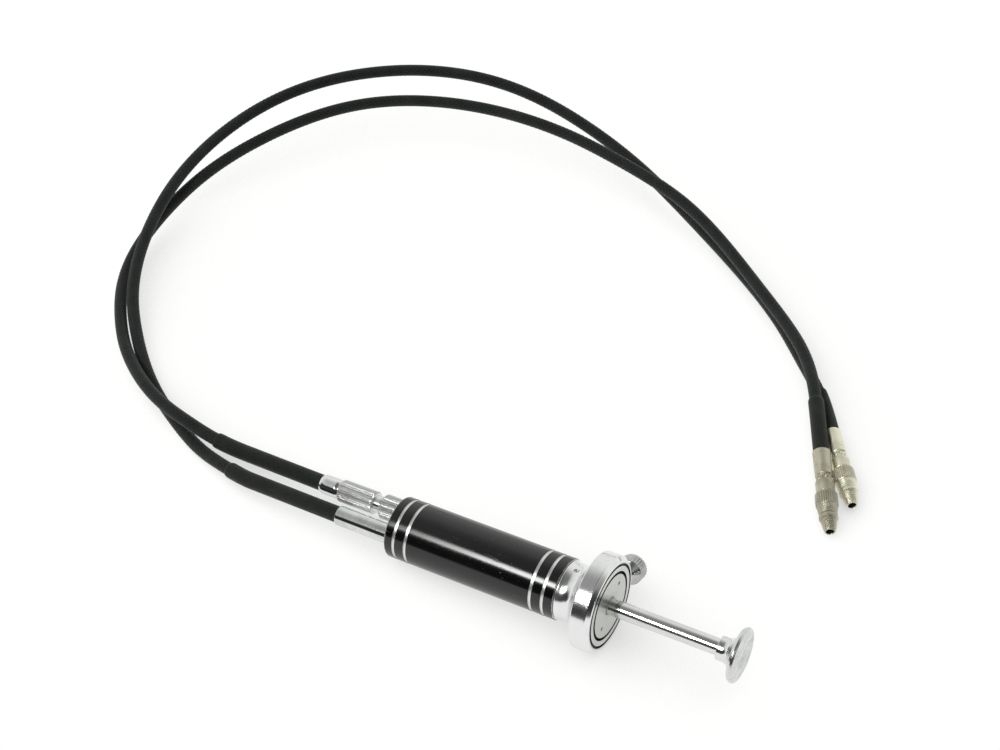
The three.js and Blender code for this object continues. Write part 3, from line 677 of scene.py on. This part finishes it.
def tube(name, path, start, end, segs, step, shape, material, bore=0.0):
    """Closed solid swept along a path. shape(dist, angle) gives (radius, thread, crown)."""
    count = max(2, int(round((end - start) / step)) + 1)
    dist = np.linspace(start, end, count)
    centres, normal, side = path.frames(dist)
    turn = angles(segs)
    dist_grid, turn_grid = np.meshgrid(dist, turn, indexing="ij")
    radius, thread, crown = shape(dist_grid, turn_grid)
    verts = sweep_rings(centres, normal, side, radius[..., None], turn_grid).reshape(-1, 3)
    i, j = np.meshgrid(np.arange(count - 1), np.arange(segs), indexing="ij")
    j2 = (j + 1) % segs
    row, after = i * segs, (i + 1) * segs
    faces = np.stack([row + j, row + j2, after + j2, after + j], -1).reshape(-1, 4).tolist()
    inner, last = len(verts), (count - 1) * segs
    if bore:
        # The wall of the bore has fewer rings than the outside
        kept = max(2, min(count, int((end - start) / 2.4) + 1))
        keep = np.linspace(0, count - 1, kept).astype(int)
        wall = sweep_rings(centres[keep], normal[keep], side[keep], bore, turn[None, :])
        wall = wall.reshape(-1, 3)
        verts = np.vstack([verts, wall])
        zeros = np.zeros(len(wall))
        added = zeros, zeros, np.repeat(dist[keep], segs)
        for i in range(kept - 1):
            row, after = inner + i * segs, inner + (i + 1) * segs
            for j in range(segs):
                j2 = (j + 1) % segs
                faces.append([row + j, after + j, after + j2, row + j2])
        inner_last = inner + (kept - 1) * segs
        for j in range(segs):
            j2 = (j + 1) % segs
            faces.append([j, inner + j, inner + j2, j2])
            faces.append([last + j, last + j2, inner_last + j2, inner_last + j])
    else:
        verts = np.vstack([verts, centres[:1], centres[-1:]])
        added = (0, 0), (0, 0), (start, end)
        for j in range(segs):
            j2 = (j + 1) % segs
            faces.append([inner, j2, j])
            faces.append([inner + 1, last + j, last + j2])
    mesh = bpy.data.meshes.new(name)
    mesh.from_pydata((verts * MM).tolist(), [], faces)
    mesh.polygons.foreach_set("use_smooth", np.ones(len(mesh.polygons), bool))
    mesh.set_sharp_from_angle(angle=math.radians(60))
    thread, crown, along = (np.r_[grid.ravel(), extra] for grid, extra
                            in zip((thread, crown, dist_grid), added))
    for key, values in (("thread", thread), ("crown", crown), ("along", along * MM)):
        layer = mesh.attributes.new(key, "FLOAT", "POINT")
        layer.data.foreach_set("value", np.asarray(values, np.float32))
    mesh.materials.append(material)
    return add_object(name, mesh)


def braid(crest, strands, lay, thick, wave, ends=None, taper=0.0):
    """Over-and-under braid: this many strands each way, one turn per lay."""
    def shape(dist, turn):
        one = strands * (turn / (2 * math.pi) + dist / lay)
        two = strands * (turn / (2 * math.pi) - dist / lay)
        one_id, two_id = np.floor(one), np.floor(two)
        one_across, two_across = one - one_id - 0.5, two - two_id - 0.5
        one_high = (thick * (1 - (2 * one_across) ** 2)
                    + wave * np.where(one_id % 2 == 0, 1, -1) * np.sin(math.pi * two))
        two_high = (thick * (1 - (2 * two_across) ** 2)
                    - wave * np.where(two_id % 2 == 0, 1, -1) * np.sin(math.pi * one))
        high = np.maximum(one_high, two_high)
        radius = crest - (thick + wave) + np.maximum(high, 0)
        if ends:
            from_end = np.minimum(dist - ends[0], ends[1] - dist)
            radius = radius - taper * np.clip(1 - from_end / 0.9, 0, 1) ** 2
        thread = np.where(one_high > two_high, one_across, two_across)
        return radius, thread, np.clip(high / (thick + wave), 0, 1)
    return shape


def plain(radius):
    return lambda dist, turn: (np.full_like(dist, radius), np.zeros_like(dist),
                               np.ones_like(dist))


# ------------------------------------------------------------------------- handle
def handle_offset(y, z=0.0):
    return HANDLE @ Matrix.Translation((0, y * MM, z * MM))


def radial_matrix(x, degrees):
    """Local X points straight out from the handle's axis."""
    return (HANDLE @ Matrix.Translation((x * MM, 0, 0))
            @ Matrix.Rotation(math.radians(degrees), 4, "X")
            @ Matrix.Rotation(math.pi / 2, 4, "Z"))


IN_F, IN_T = handle_offset(CABLE_Y["f"]), handle_offset(CABLE_Y["t"])
LOCK = radial_matrix(LOCK_X, LOCK_ANGLE)
GRUB = radial_matrix(GRUB_X, GRUB_ANGLE)


def turned_part(name, look, body, replaces, profile, matrix=HANDLE, segs=0, teeth=0):
    attach(lathe(name, profile, MAT[look], matrix, segs, teeth), body, replaces)


# All profiles below: x, radius, fillet, knurl depth
def build_barrel():
    half_width, bottom, fillet = 0.38, 7.32, 0.05
    grooves = []
    for x in (-53.9, -50.75, -17.15, -14.0):
        grooves += [(x - half_width, BARREL_RADIUS, fillet), (x - half_width, bottom, fillet),
                    (x + half_width, bottom, fillet), (x + half_width, BARREL_RADIUS, fillet)]
    turned_part("barrel_shell", "barrel", "handle", "barrel", [
        (-56.5, 6.0, 0.1), (-56.5, BARREL_RADIUS, 0.5), *grooves,
        (-11.25, BARREL_RADIUS, 0.2), (-11.25, 5.2), (-6.6, 5.2), (-6.6, 4.2),
        (-13.2, 4.2), (-13.2, 6.0)], segs=144)


def build_flange():
    flange = lathe("flange_body", [
        (-11.2, 5.25), (-11.2, 7.32, 0.3), (-10.2, 7.06, 1.2), (-9.1, 6.93, 3.0),
        (-7.5, 7.2, 2.5), (-6.3, 8.2, 2.5), (-5.35, 10.0, 2.0), (-4.85, 11.6, 0.3),
        (FLANGE_REST_X, FLANGE_RADIUS, 0.25), (-1.05, FLANGE_RADIUS, 0.3),
        (-0.1, 10.95, 0.15), (0, 10.7, 0.05), (0, 10.27, 0.03), (-0.25, 10.24),
        (-0.25, 9.76), (0, 9.73, 0.03), (0, 8.4, 0.04), (-0.35, 8.2), (-1.3, 8.2),
        (-1.3, 2.3), (-6.45, 2.3), (-6.45, 5.25)], MAT["flange"], HANDLE, segs=160)
    drill(flange, start=1.0, end=13.0, radius=1.2, segs=HOLE_SEGS, matrix=LOCK)
    drill(flange, start=4.6, end=8.5, radius=0.66, segs=HOLE_SEGS, matrix=GRUB)
    attach(flange, "handle", "finger_flange")


def build_face_plate():
    plate = lathe("face_plate", [
        (-1.25, 2.06), (-1.25, 8.12), (-0.32, 8.12), (-0.03, 7.9, 0.03), (0, 7.83, 0.02),
        (0, 2.35, 0.03), (-0.25, 2.06)], MAT["plate"], HANDLE, segs=128)
    hole_circle, hole_angle = 5.6, math.radians(34)
    for side in (1, -1):      # two small holes opposite each other
        where = handle_offset(side * hole_circle * math.cos(hole_angle),
                              side * hole_circle * math.sin(hole_angle))
        subtract(plate, lathe("spanner_hole", [
            (-0.35, 0), (-0.35, 0.3), (-0.2, 0.46), (1, 0.5), (1, 0)],
            MAT["plate"], where, segs=32))
    attach(plate, "handle", "front_plate")


def build_grub_screw():
    grub = lathe("grub_screw", [
        (5.3, 0), (5.3, 0.4), (5.45, 0.6, 0.05), (6.78, 0.6, 0.08), (6.78, 0)],
        MAT["steel"], GRUB, segs=48)
    corners = [(x * MM, y * MM, z * MM)
               for x in (6.4, 7.2) for y in (-0.1, 0.1) for z in (-0.9, 0.9)]
    sides = [(0, 1, 3, 2), (4, 6, 7, 5), (0, 4, 5, 1), (2, 3, 7, 6), (0, 2, 6, 4), (1, 5, 7, 3)]
    turned = GRUB @ Matrix.Rotation(math.radians(35), 4, "X")
    subtract(grub, mesh_object("screw_slot", corners, sides, MAT["steel"], turned, sharp=30))
    attach(grub, "handle", "flange_set_screw")


def build_plunger():
    turned_part("thumb_rod", "rod", "plunger", "plunger_rod", [
        (-20.4, 0), (-20.4, 1.4, 0.1), (-13.3, 1.5), (-13.3, 2.0, 0.05), (30.8, 2.0, 0.2),
        (31.0, 0)], segs=72)
    turned_part("thumb_button", "button", "plunger", "plunger_button", [
        (31.15, 0), (31.15, 2.02), (27.3, 2.02), (27.3, 2.84, 0.22), (29.2, 2.84, 2.0),
        (30.5, 3.45, 1.6), (31.15, 5.2, 1.2), (31.6, 6.35, 0.3), (32.3, 6.6, 0.35),
        (32.87, 6.35, 0.25), (33.0, 5.5, 0.2), (33.0, 1.6, 0.3), (32.7, 1.1, 0.3),
        (32.7, 0)], segs=144)


def build_lock_screw():
    turned_part("lock_thumb_screw", "knob", "lock_knob", "lock_screw", [
        (4.65, 0), (4.65, 1.1, 0.1), (12.5, 1.1), (12.5, 1.8, 0.1), (13.2, 1.68, 0.8),
        (14.1, 2.0, 1.2), (14.9, 2.9, 1.0), (15.25, 3.32, 0.1), (15.55, 3.4, 0.0, 0.2),
        (15.75, 3.42, 0.0, 0.3), (18.1, 3.42, 0.0, 0.3), (18.35, 3.3, 0.0, 0.18),
        (18.5, 3.1, 0.1), (18.8, 2.2, 0.3), (18.95, 0)], LOCK, teeth=30)


def build_rear_fittings():
    turned_part("plain_ferrule", "satin", "handle", "fixed_ferrule", [
        (-71.7, 2.1, 0.05), (-71.7, 2.42, 0.22), (-56.65, 2.42, 0.12), (-56.5, 2.2),
        (-56.5, 1.44), (-50.0, 1.44), (-50.0, 0.62), (-66.0, 0.62), (-66.0, 1.7),
        (-68.0, 1.7), (-68.0, 2.1)], IN_F, segs=80)
    turned_part("knurled_nut", "nut", "lock_nut", "lock_nut", [
        (-63.3, 1.78), (-63.3, 2.85, 0.05), (-63.05, 3.1, 0.0, 0.08),
        (-62.9, NUT_RADIUS, 0.0, NUT_KNURL), (-57.0, NUT_RADIUS, 0.0, NUT_KNURL),
        (-56.85, 3.1, 0.0, 0.08), (-56.6, 2.85, 0.05), (-56.6, 1.78)], IN_T, teeth=40)
    turned_part("knurled_adjuster", "adjuster", "adjuster", "adjuster_sleeve", [
        (-75.55, 1.5), (-75.55, 2.5, 0.1), (-75.25, 2.8, 0.0, 0.05),
        (-75.05, ADJUSTER_RADIUS, 0.0, ADJUSTER_KNURL),
        (-65.9, ADJUSTER_RADIUS, 0.0, ADJUSTER_KNURL), (-65.7, 2.8, 0.0, 0.05),
        (-65.4, 2.5, 0.05), (-65.4, 2.18, 0.05), (-63.75, 2.18, 0.15), (-63.75, 1.78),
        (-74.15, 1.78), (-74.15, 1.5)], IN_T, teeth=38)
    turned_part("swivel_ferrule", "chrome", "adjuster_carriage", "adjuster_ferrule", [
        (-81.0, 2.1, 0.03), (-81.0, 2.2, 0.15), (-80.4, 2.44, 0.9), (-79.6, 2.5, 0.5),
        (-76.5, 2.5, 0.4), (-75.65, 2.2, 0.3), (-75.65, 1.42), (-74.0, 1.42), (-74.0, 1.7),
        (-73.15, 1.7), (-73.15, 0.62), (-77.45, 0.62), (-77.45, 1.7), (-79.25, 1.7),
        (-79.25, 2.1)], IN_T, segs=80)
    stud = threaded("threaded_stud", span=(-69.7, -56.8), radii=(1.74, 1.74), pitch=0.5,
                    depth=0.16, material=MAT["chrome"], matrix=IN_T,
                    head=[(-50.0, 0.62), (-70.0, 0.62), (-70.0, 1.45)],
                    tail=[(-56.4, 1.72), (-50.0, 1.72)])
    attach(stud, "handle", "adjuster_stud")


def build_end_plug():
    plug = lathe("end_plug", [(-56.4, 0), (-56.4, 5.94, 0.12), (-49.4, 5.94), (-49.4, 0)],
                 MAT["satin"], HANDLE, segs=96)
    for matrix, radius in ((IN_F, 1.5), (IN_T, 1.8)):
        drill(plug, start=-60, end=-45, radius=radius, segs=48, matrix=matrix)
    attach(plug, "handle", "rear_plug")


def build_spring():
    turns, steps_per_turn, sides = 8, 28, 12
    rear_x, length, coil_radius, wire_radius = -48.85, 30.1, 4.95, 0.4
    part = np.linspace(0, 1, turns * steps_per_turn + 1)
    turn = 2 * math.pi * turns * part
    centres = np.stack([rear_x + length * part, coil_radius * np.cos(turn),
                        coil_radius * np.sin(turn)], -1)
    along = np.gradient(centres, axis=0)
    along /= np.linalg.norm(along, axis=1)[:, None]
    normal = centres * np.array((0, 1, 1)) / coil_radius
    verts = sweep_rings(centres, normal, np.cross(along, normal), wire_radius,
                        angles(sides)[None, :]).reshape(-1, 3)
    last = (len(part) - 1) * sides
    faces = []
    for row in range(0, last, sides):
        for j in range(sides):
            j2 = (j + 1) % sides
            faces.append([row + j, row + j2, row + sides + j2, row + sides + j])
    faces += [list(range(sides))[::-1], [last + j for j in range(sides)]]
    spring = mesh_object("coil_spring", verts * MM, faces, MAT["steel"], HANDLE, sharp=60)
    attach(spring, "handle", "return_spring")
    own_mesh(spring)


build_barrel()
build_flange()
build_face_plate()
build_grub_screw()
build_plunger()
build_lock_screw()
build_rear_fittings()
build_end_plug()
build_spring()

# ------------------------------------------------------------------------- cables
PATHS = {tag: Path(tag) for tag in ("f", "t")}
FLEX_BACK = 42.0                   # the bend is centred this far behind the tip
FRONT_BACK = 60                    # the front stretch starts this far behind the bend
CARRIAGE_BLEND = (38.0, 73.0)      # two distances along cable t; on_carriage looks them up but does not use them
CARRIAGE_END = 78.0                # end of cable t's rear stretch


def on_handle(ob):
    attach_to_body(ob, "handle")


def on_carriage(ob):
    start, end = (PATHS["t"].at(np.array([dist]))[0] * MM for dist in CARRIAGE_BLEND)
    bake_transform(ob)


def flexing(tag):
    """Bakes the piece's transform in place; the bend's middle and direction are worked out but
    not used.
    """
    def hold(ob):
        path = PATHS[tag]
        bend = path.tip - FLEX_BACK
        middle = path.at(np.array([bend]))[0]
        along = path.at(np.array([bend + 10]))[0] - path.at(np.array([bend - 10]))[0]
        along /= np.linalg.norm(along)
        along[2] = 0
        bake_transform(ob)
    return hold


def build_sheath(tag, part, start, end, hold):
    """One stretch of woven sheath with the liner inside it."""
    label, path = "%s_%s" % (tag, part), PATHS[tag]
    weave = braid(1.66, strands=8, lay=10.4, thick=0.06, wave=0.045)
    sheath = tube("braid_" + label, path, start, end, 48, 0.2, weave, MAT["sheath"], bore=1.12)
    liner = tube("liner_" + label, path, start + 0.05, end - 0.05, 16, 1.5, plain(1.0),
                 MAT["coil"], bore=0.8)
    for ob, node in ((sheath, "cable_sheath_"), (liner, "coil_liner_")):
        hold(ob)
        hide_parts(node + label)


def build_wire(tag, part, start, end, step, hold):
    label = "%s_%s" % (tag, part)
    wire = tube("wire_" + label, PATHS[tag], start, end, 8, step, plain(0.5), MAT["steel"])
    hold(wire)
    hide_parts("inner_wire_" + label)


def build_cable(tag, still, sheath_start, wire_start):
    """The still stretch, named by 'still', the front stretch, and the wire of both."""
    path, hold = PATHS[tag], flexing(tag)
    joint = path.tip - FLEX_BACK - FRONT_BACK
    build_sheath(tag, still, sheath_start, joint, on_handle)
    build_sheath(tag, "front", joint, path.total, hold)
    build_wire(tag, still, wire_start, joint, 3.0, on_handle)
    build_wire(tag, "front", joint, path.total - 0.1, 1.5, hold)


build_cable("f", "rear", sheath_start=0.0, wire_start=24.1)
build_sheath("t", "rear", 0.0, CARRIAGE_END, on_carriage)
build_cable("t", "mid", sheath_start=CARRIAGE_END, wire_start=40.0)

# Strain reliefs, finer and tighter cloth over the sheath: cable, end, from, to, body
TIP_F, TIP_T = PATHS["f"].tip, PATHS["t"].tip
for tag, place, start, end, body in (
        ("f", "handle", 2.0, 39.0, "handle"),
        ("t", "handle", 1.9, 35.5, "adjuster_carriage"),
        ("f", "tip", TIP_F - 15.0, TIP_F + 1.5, "cable_end_f"),
        ("t", "tip", TIP_T - 17.0, TIP_T + 1.5, "cable_end_t")):
    weave = braid(2.05, strands=15, lay=12.5, thick=0.04, wave=0.022, ends=(start, end),
                  taper=0.2)
    sleeve = tube("sleeve_%s_%s" % (tag, place), PATHS[tag], start, end, 60, 0.15, weave,
                  MAT["sleeve"], bore=1.7)
    attach(sleeve, body, "strain_relief_%s_%s" % (tag, place))


# --------------------------------------------------------------------------- tips
def build_tip(tag):
    """Local X runs from the end of the cable's line out to the screw thread."""
    direction = Vector(TIP_DIR[tag])
    turn = Vector((1, 0, 0)).rotation_difference(direction).to_matrix().to_4x4()
    matrix = Matrix.Translation(Vector(CABLE_LINE[tag][-1]) * MM) @ turn
    look = MAT["tip_" + tag]
    cable_end, tip = "cable_end_" + tag, "tip_" + tag
    ferrule = lathe("ferrule_" + tag, [
        (0, 2.08, 0.05), (0, 2.27, 0.15), (7.45, 2.2, 0.25), (7.75, 1.9, 0.1),
        (8.1, 1.86, 0.0, 0.12), (8.3, 2.08, 0.0, 0.3), (8.6, 2.08, 0.0, 0.3),
        (8.8, 1.88, 0.0, 0.12), (9.0, 1.84, 0.1), (9.3, 1.84, 0.1), (9.3, 0.7), (3.45, 0.7),
        (3.45, 1.7), (1.6, 1.7), (1.6, 2.08)], look, matrix, teeth=9)
    attach(ferrule, cable_end, "tip_ferrule_" + tag)
    stem = lathe("stem_" + tag, [
        (9.36, 0.7), (9.36, 2.36, 0.25), (12.85, 2.36, 0.25), (12.85, 1.15),
        (21.2, 1.15, 0.1), (21.2, 0.7)], look, matrix, segs=72)
    attach(stem, cable_end, "tip_barrel_" + tag)
    collar = lathe("collar_" + tag, [
        (12.95, 1.22), (12.95, 2.5, 0.06), (13.15, 2.72, 0.0, 0.05), (13.35, 2.83, 0.0, 0.22),
        (16.4, 2.83, 0.0, 0.22), (16.65, 2.72, 0.0, 0.08), (16.9, 2.62, 0.1), (17.2, 2.4),
        (17.2, 1.22)], MAT["collar_" + tag], matrix, teeth=30)
    attach(collar, tip, "tip_collar_" + tag)
    taper = threaded("taper_" + tag, span=(16.95, 19.3), radii=(2.6, 2.24), pitch=0.55,
                     depth=0.05, material=look, matrix=matrix,
                     head=[(17.0, 1.23), (16.9, 1.23), (16.9, 2.3)],
                     tail=[(19.35, 2.0), (19.5, 2.0), (19.5, 1.23)])
    attach(taper, tip)
    ring = lathe("ring_" + tag, [
        (19.4, 1.23), (19.4, 2.0, 0.05), (19.62, 2.37, 0.12), (20.4, 2.37, 0.15),
        (20.58, 2.0, 0.05), (20.58, 1.23)], look, matrix, segs=80)
    attach(ring, tip)
    screw = threaded("thread_" + tag, span=(20.5, 23.75), radii=(2.12, 1.5), pitch=0.5,
                     depth=0.16, material=look, matrix=matrix,
                     head=[(20.6, 1.23), (20.45, 1.23), (20.45, 1.9)],
                     tail=[(23.85, 1.4), (24.05, 1.3), (24.1, 1.22), (24.1, 1.06),
                           (24.0, 1.0), (21.4, 1.0), (21.4, 1.23)])
    attach(screw, tip)
    # Painted shade: a near-black ring lines the mouth of the bore
    throat = lathe("throat_" + tag, [
        (22.6, 0.66), (22.6, 1.02), (23.98, 1.02), (23.98, 0.95, 0.03), (23.1, 0.66)],
        MAT["mouth_shade"], matrix, segs=48)
    attach(throat, tip)
    pin = lathe("pin_" + tag, [(4.2, 0), (4.2, 0.62, 0.05), (23.1, 0.62, 0.3), (23.1, 0)],
                MAT["steel"], matrix, segs=40)
    attach(pin, "pin_" + tag, "tip_pin_" + tag)


for tag in ("f", "t"):
    build_tip(tag)

# CAD nodes that keep their own mesh
for name, look in (("pressure_plate", "brass"), ("piston_nut", "steel_cad"),
                   ("push_wire_f", "steel_cad"), ("push_wire_t", "steel_cad"),
                   ("lock_pad", "brass")):
    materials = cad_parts[name].data.materials
    materials.clear()
    materials.append(MAT[look])

# ---------------------------------------------------------------- stage and light
FLOOR_HALF = 3.0                   # metres
FLOOR_GLOW, FLOOR_SEEN = 0.92, 1.0     # floor brightness as a light, and to the camera
SOFTBOX = 22.0                     # brightness of the soft box
CAM_AZIMUTH = math.radians(29.15555)
CAM_ELEVATION = math.radians(46.0)
CAM_PLACE = (0.11399421, -0.25606138, 0.36498513)     # metres
# Brightness of the room by elevation in degrees: beyond the object, and on the camera's side
FAR = [(0, 0.85), (20, 0.90), (44, 0.82), (58, 0.50), (70, 0.20), (90, 0.13)]
FRONT = [(0, 0.06), (8, 0.03), (31, 0.03), (35, 0.48), (50, 0.48), (58, 0.20), (70, 0.13),
         (90, 0.15)]


def build_floor():
    """A glowing white floor with a painted shadow that darkens its glow close to the object."""
    mesh = bpy.data.meshes.new("floor")
    corners = [(x * FLOOR_HALF, y * FLOOR_HALF, TABLE_Z)
               for x, y in ((-1, -1), (1, -1), (1, 1), (-1, 1))]
    mesh.from_pydata(corners, [], [(0, 1, 2, 3)])
    floor = add_object("floor", mesh)
    mat = Material("floor_white")
    seen = mat.node("LightPath", "Is Camera Ray")
    # Painted shadow: occlusion about a leaning normal dims the glow beside the object, more on
    # one side
    leaning = mat.vec(x=-0.443, y=-0.247, z=0.862)
    painted_shadow = mat.node("AmbientOcclusion", 1, {"Distance": 0.036, "Normal": leaning}, samples=5)
    gain, lift, ceiling = 0.72, 0.45, 1.02
    painted_shadow = mat.math("MINIMUM", mat.math("MULTIPLY_ADD", painted_shadow, gain, lift), ceiling)
    glow = mat.mul(painted_shadow, mat.ramp(seen, to=(FLOOR_GLOW, FLOOR_SEEN)))
    mat.set(Base_Color=(0.0, 0.0, 0.0), Roughness=1.0, Specular_IOR_Level=0.0,
            Emission_Color=(0.995, 1.0, 0.985), Emission_Strength=glow)
    mesh.materials.append(mat.data)


def elevation_curve(sky, elevation, points):
    node = sky.tree.nodes.new("ShaderNodeValToRGB")
    sky.put(node.inputs[0], sky.ramp(elevation, over=(0, 90)))
    stops = node.color_ramp.elements
    for i, (degrees, value) in enumerate(points):
        stop = stops[i] if i < 2 else stops.new(degrees / 90)
        stop.position = degrees / 90
        stop.color = (value, value, value, 1)
    return node.outputs[0]


def build_world():
    world = bpy.data.worlds.new("studio")
    bpy.context.scene.world = world
    world.use_nodes = True
    sky = Nodes(world.node_tree)
    out = sky.tree.nodes.new("ShaderNodeOutputWorld")
    background = sky.tree.nodes.new("ShaderNodeBackground")
    x, y, z = sky.xyz(sky.node("TexCoord", "Generated"))
    elevation = sky.mul(sky.math("ARCSINE", z), by=180 / math.pi)
    toward_camera = sky.add(sky.mul(x, by=math.sin(CAM_AZIMUTH)),
                            sky.mul(y, by=-math.cos(CAM_AZIMUTH)))
    far = elevation_curve(sky, elevation, FAR)
    front = elevation_curve(sky, elevation, FRONT)
    near_side = sky.ramp(toward_camera, over=(-0.15, 0.15))
    level = sky.add(sky.mul(far, sky.math("SUBTRACT", 1.0, near_side)),
                    sky.mul(front, near_side))
    # One soft box on the camera's side, towards -X, draws the thin white streak along
    # the barrel and the rod
    box = sky.band(elevation, up=(36.5, 39.5), down=(47.5, 53))
    box = sky.mul(box, sky.band(x, up=(-0.468, -0.425), down=(-0.27, -0.12)))
    level = sky.add(level, sky.mul(sky.mul(box, near_side), by=SOFTBOX))
    # The camera itself sees plain white all the way up
    level = sky.larger(level, sky.node("LightPath", "Is Camera Ray"))
    tint = sky.mix(sky.ramp(elevation, over=(0, 60)),
                   under=(0.975, 1.0, 0.965), over=(0.985, 1.0, 0.98))
    sky.put(background.inputs[0], tint)
    sky.put(background.inputs[1], level)
    sky.tree.links.new(background.outputs[0], out.inputs[0])


def build_camera(scene):
    camera = bpy.data.cameras.new("camera")
    camera.lens, camera.sensor_width = 72.0, 36.0
    camera.clip_start, camera.clip_end = 0.01, 20
    ob = bpy.data.objects.new("camera", camera)
    flat = math.cos(CAM_ELEVATION)
    ahead = Vector((-math.sin(CAM_AZIMUTH) * flat, math.cos(CAM_AZIMUTH) * flat,
                    -math.sin(CAM_ELEVATION)))
    right = Vector((math.cos(CAM_AZIMUTH), math.sin(CAM_AZIMUTH), 0))
    up = right.cross(ahead)
    rows = [(right[i], up[i], -ahead[i], CAM_PLACE[i]) for i in range(3)]
    ob.matrix_world = Matrix((*rows, (0, 0, 0, 1)))
    scene.collection.objects.link(ob)
    scene.camera = ob


build_floor()
build_world()
bpy.context.scene.view_settings.view_transform = "Standard"
bpy.context.scene.view_settings.look = "None"
build_camera(bpy.context.scene)
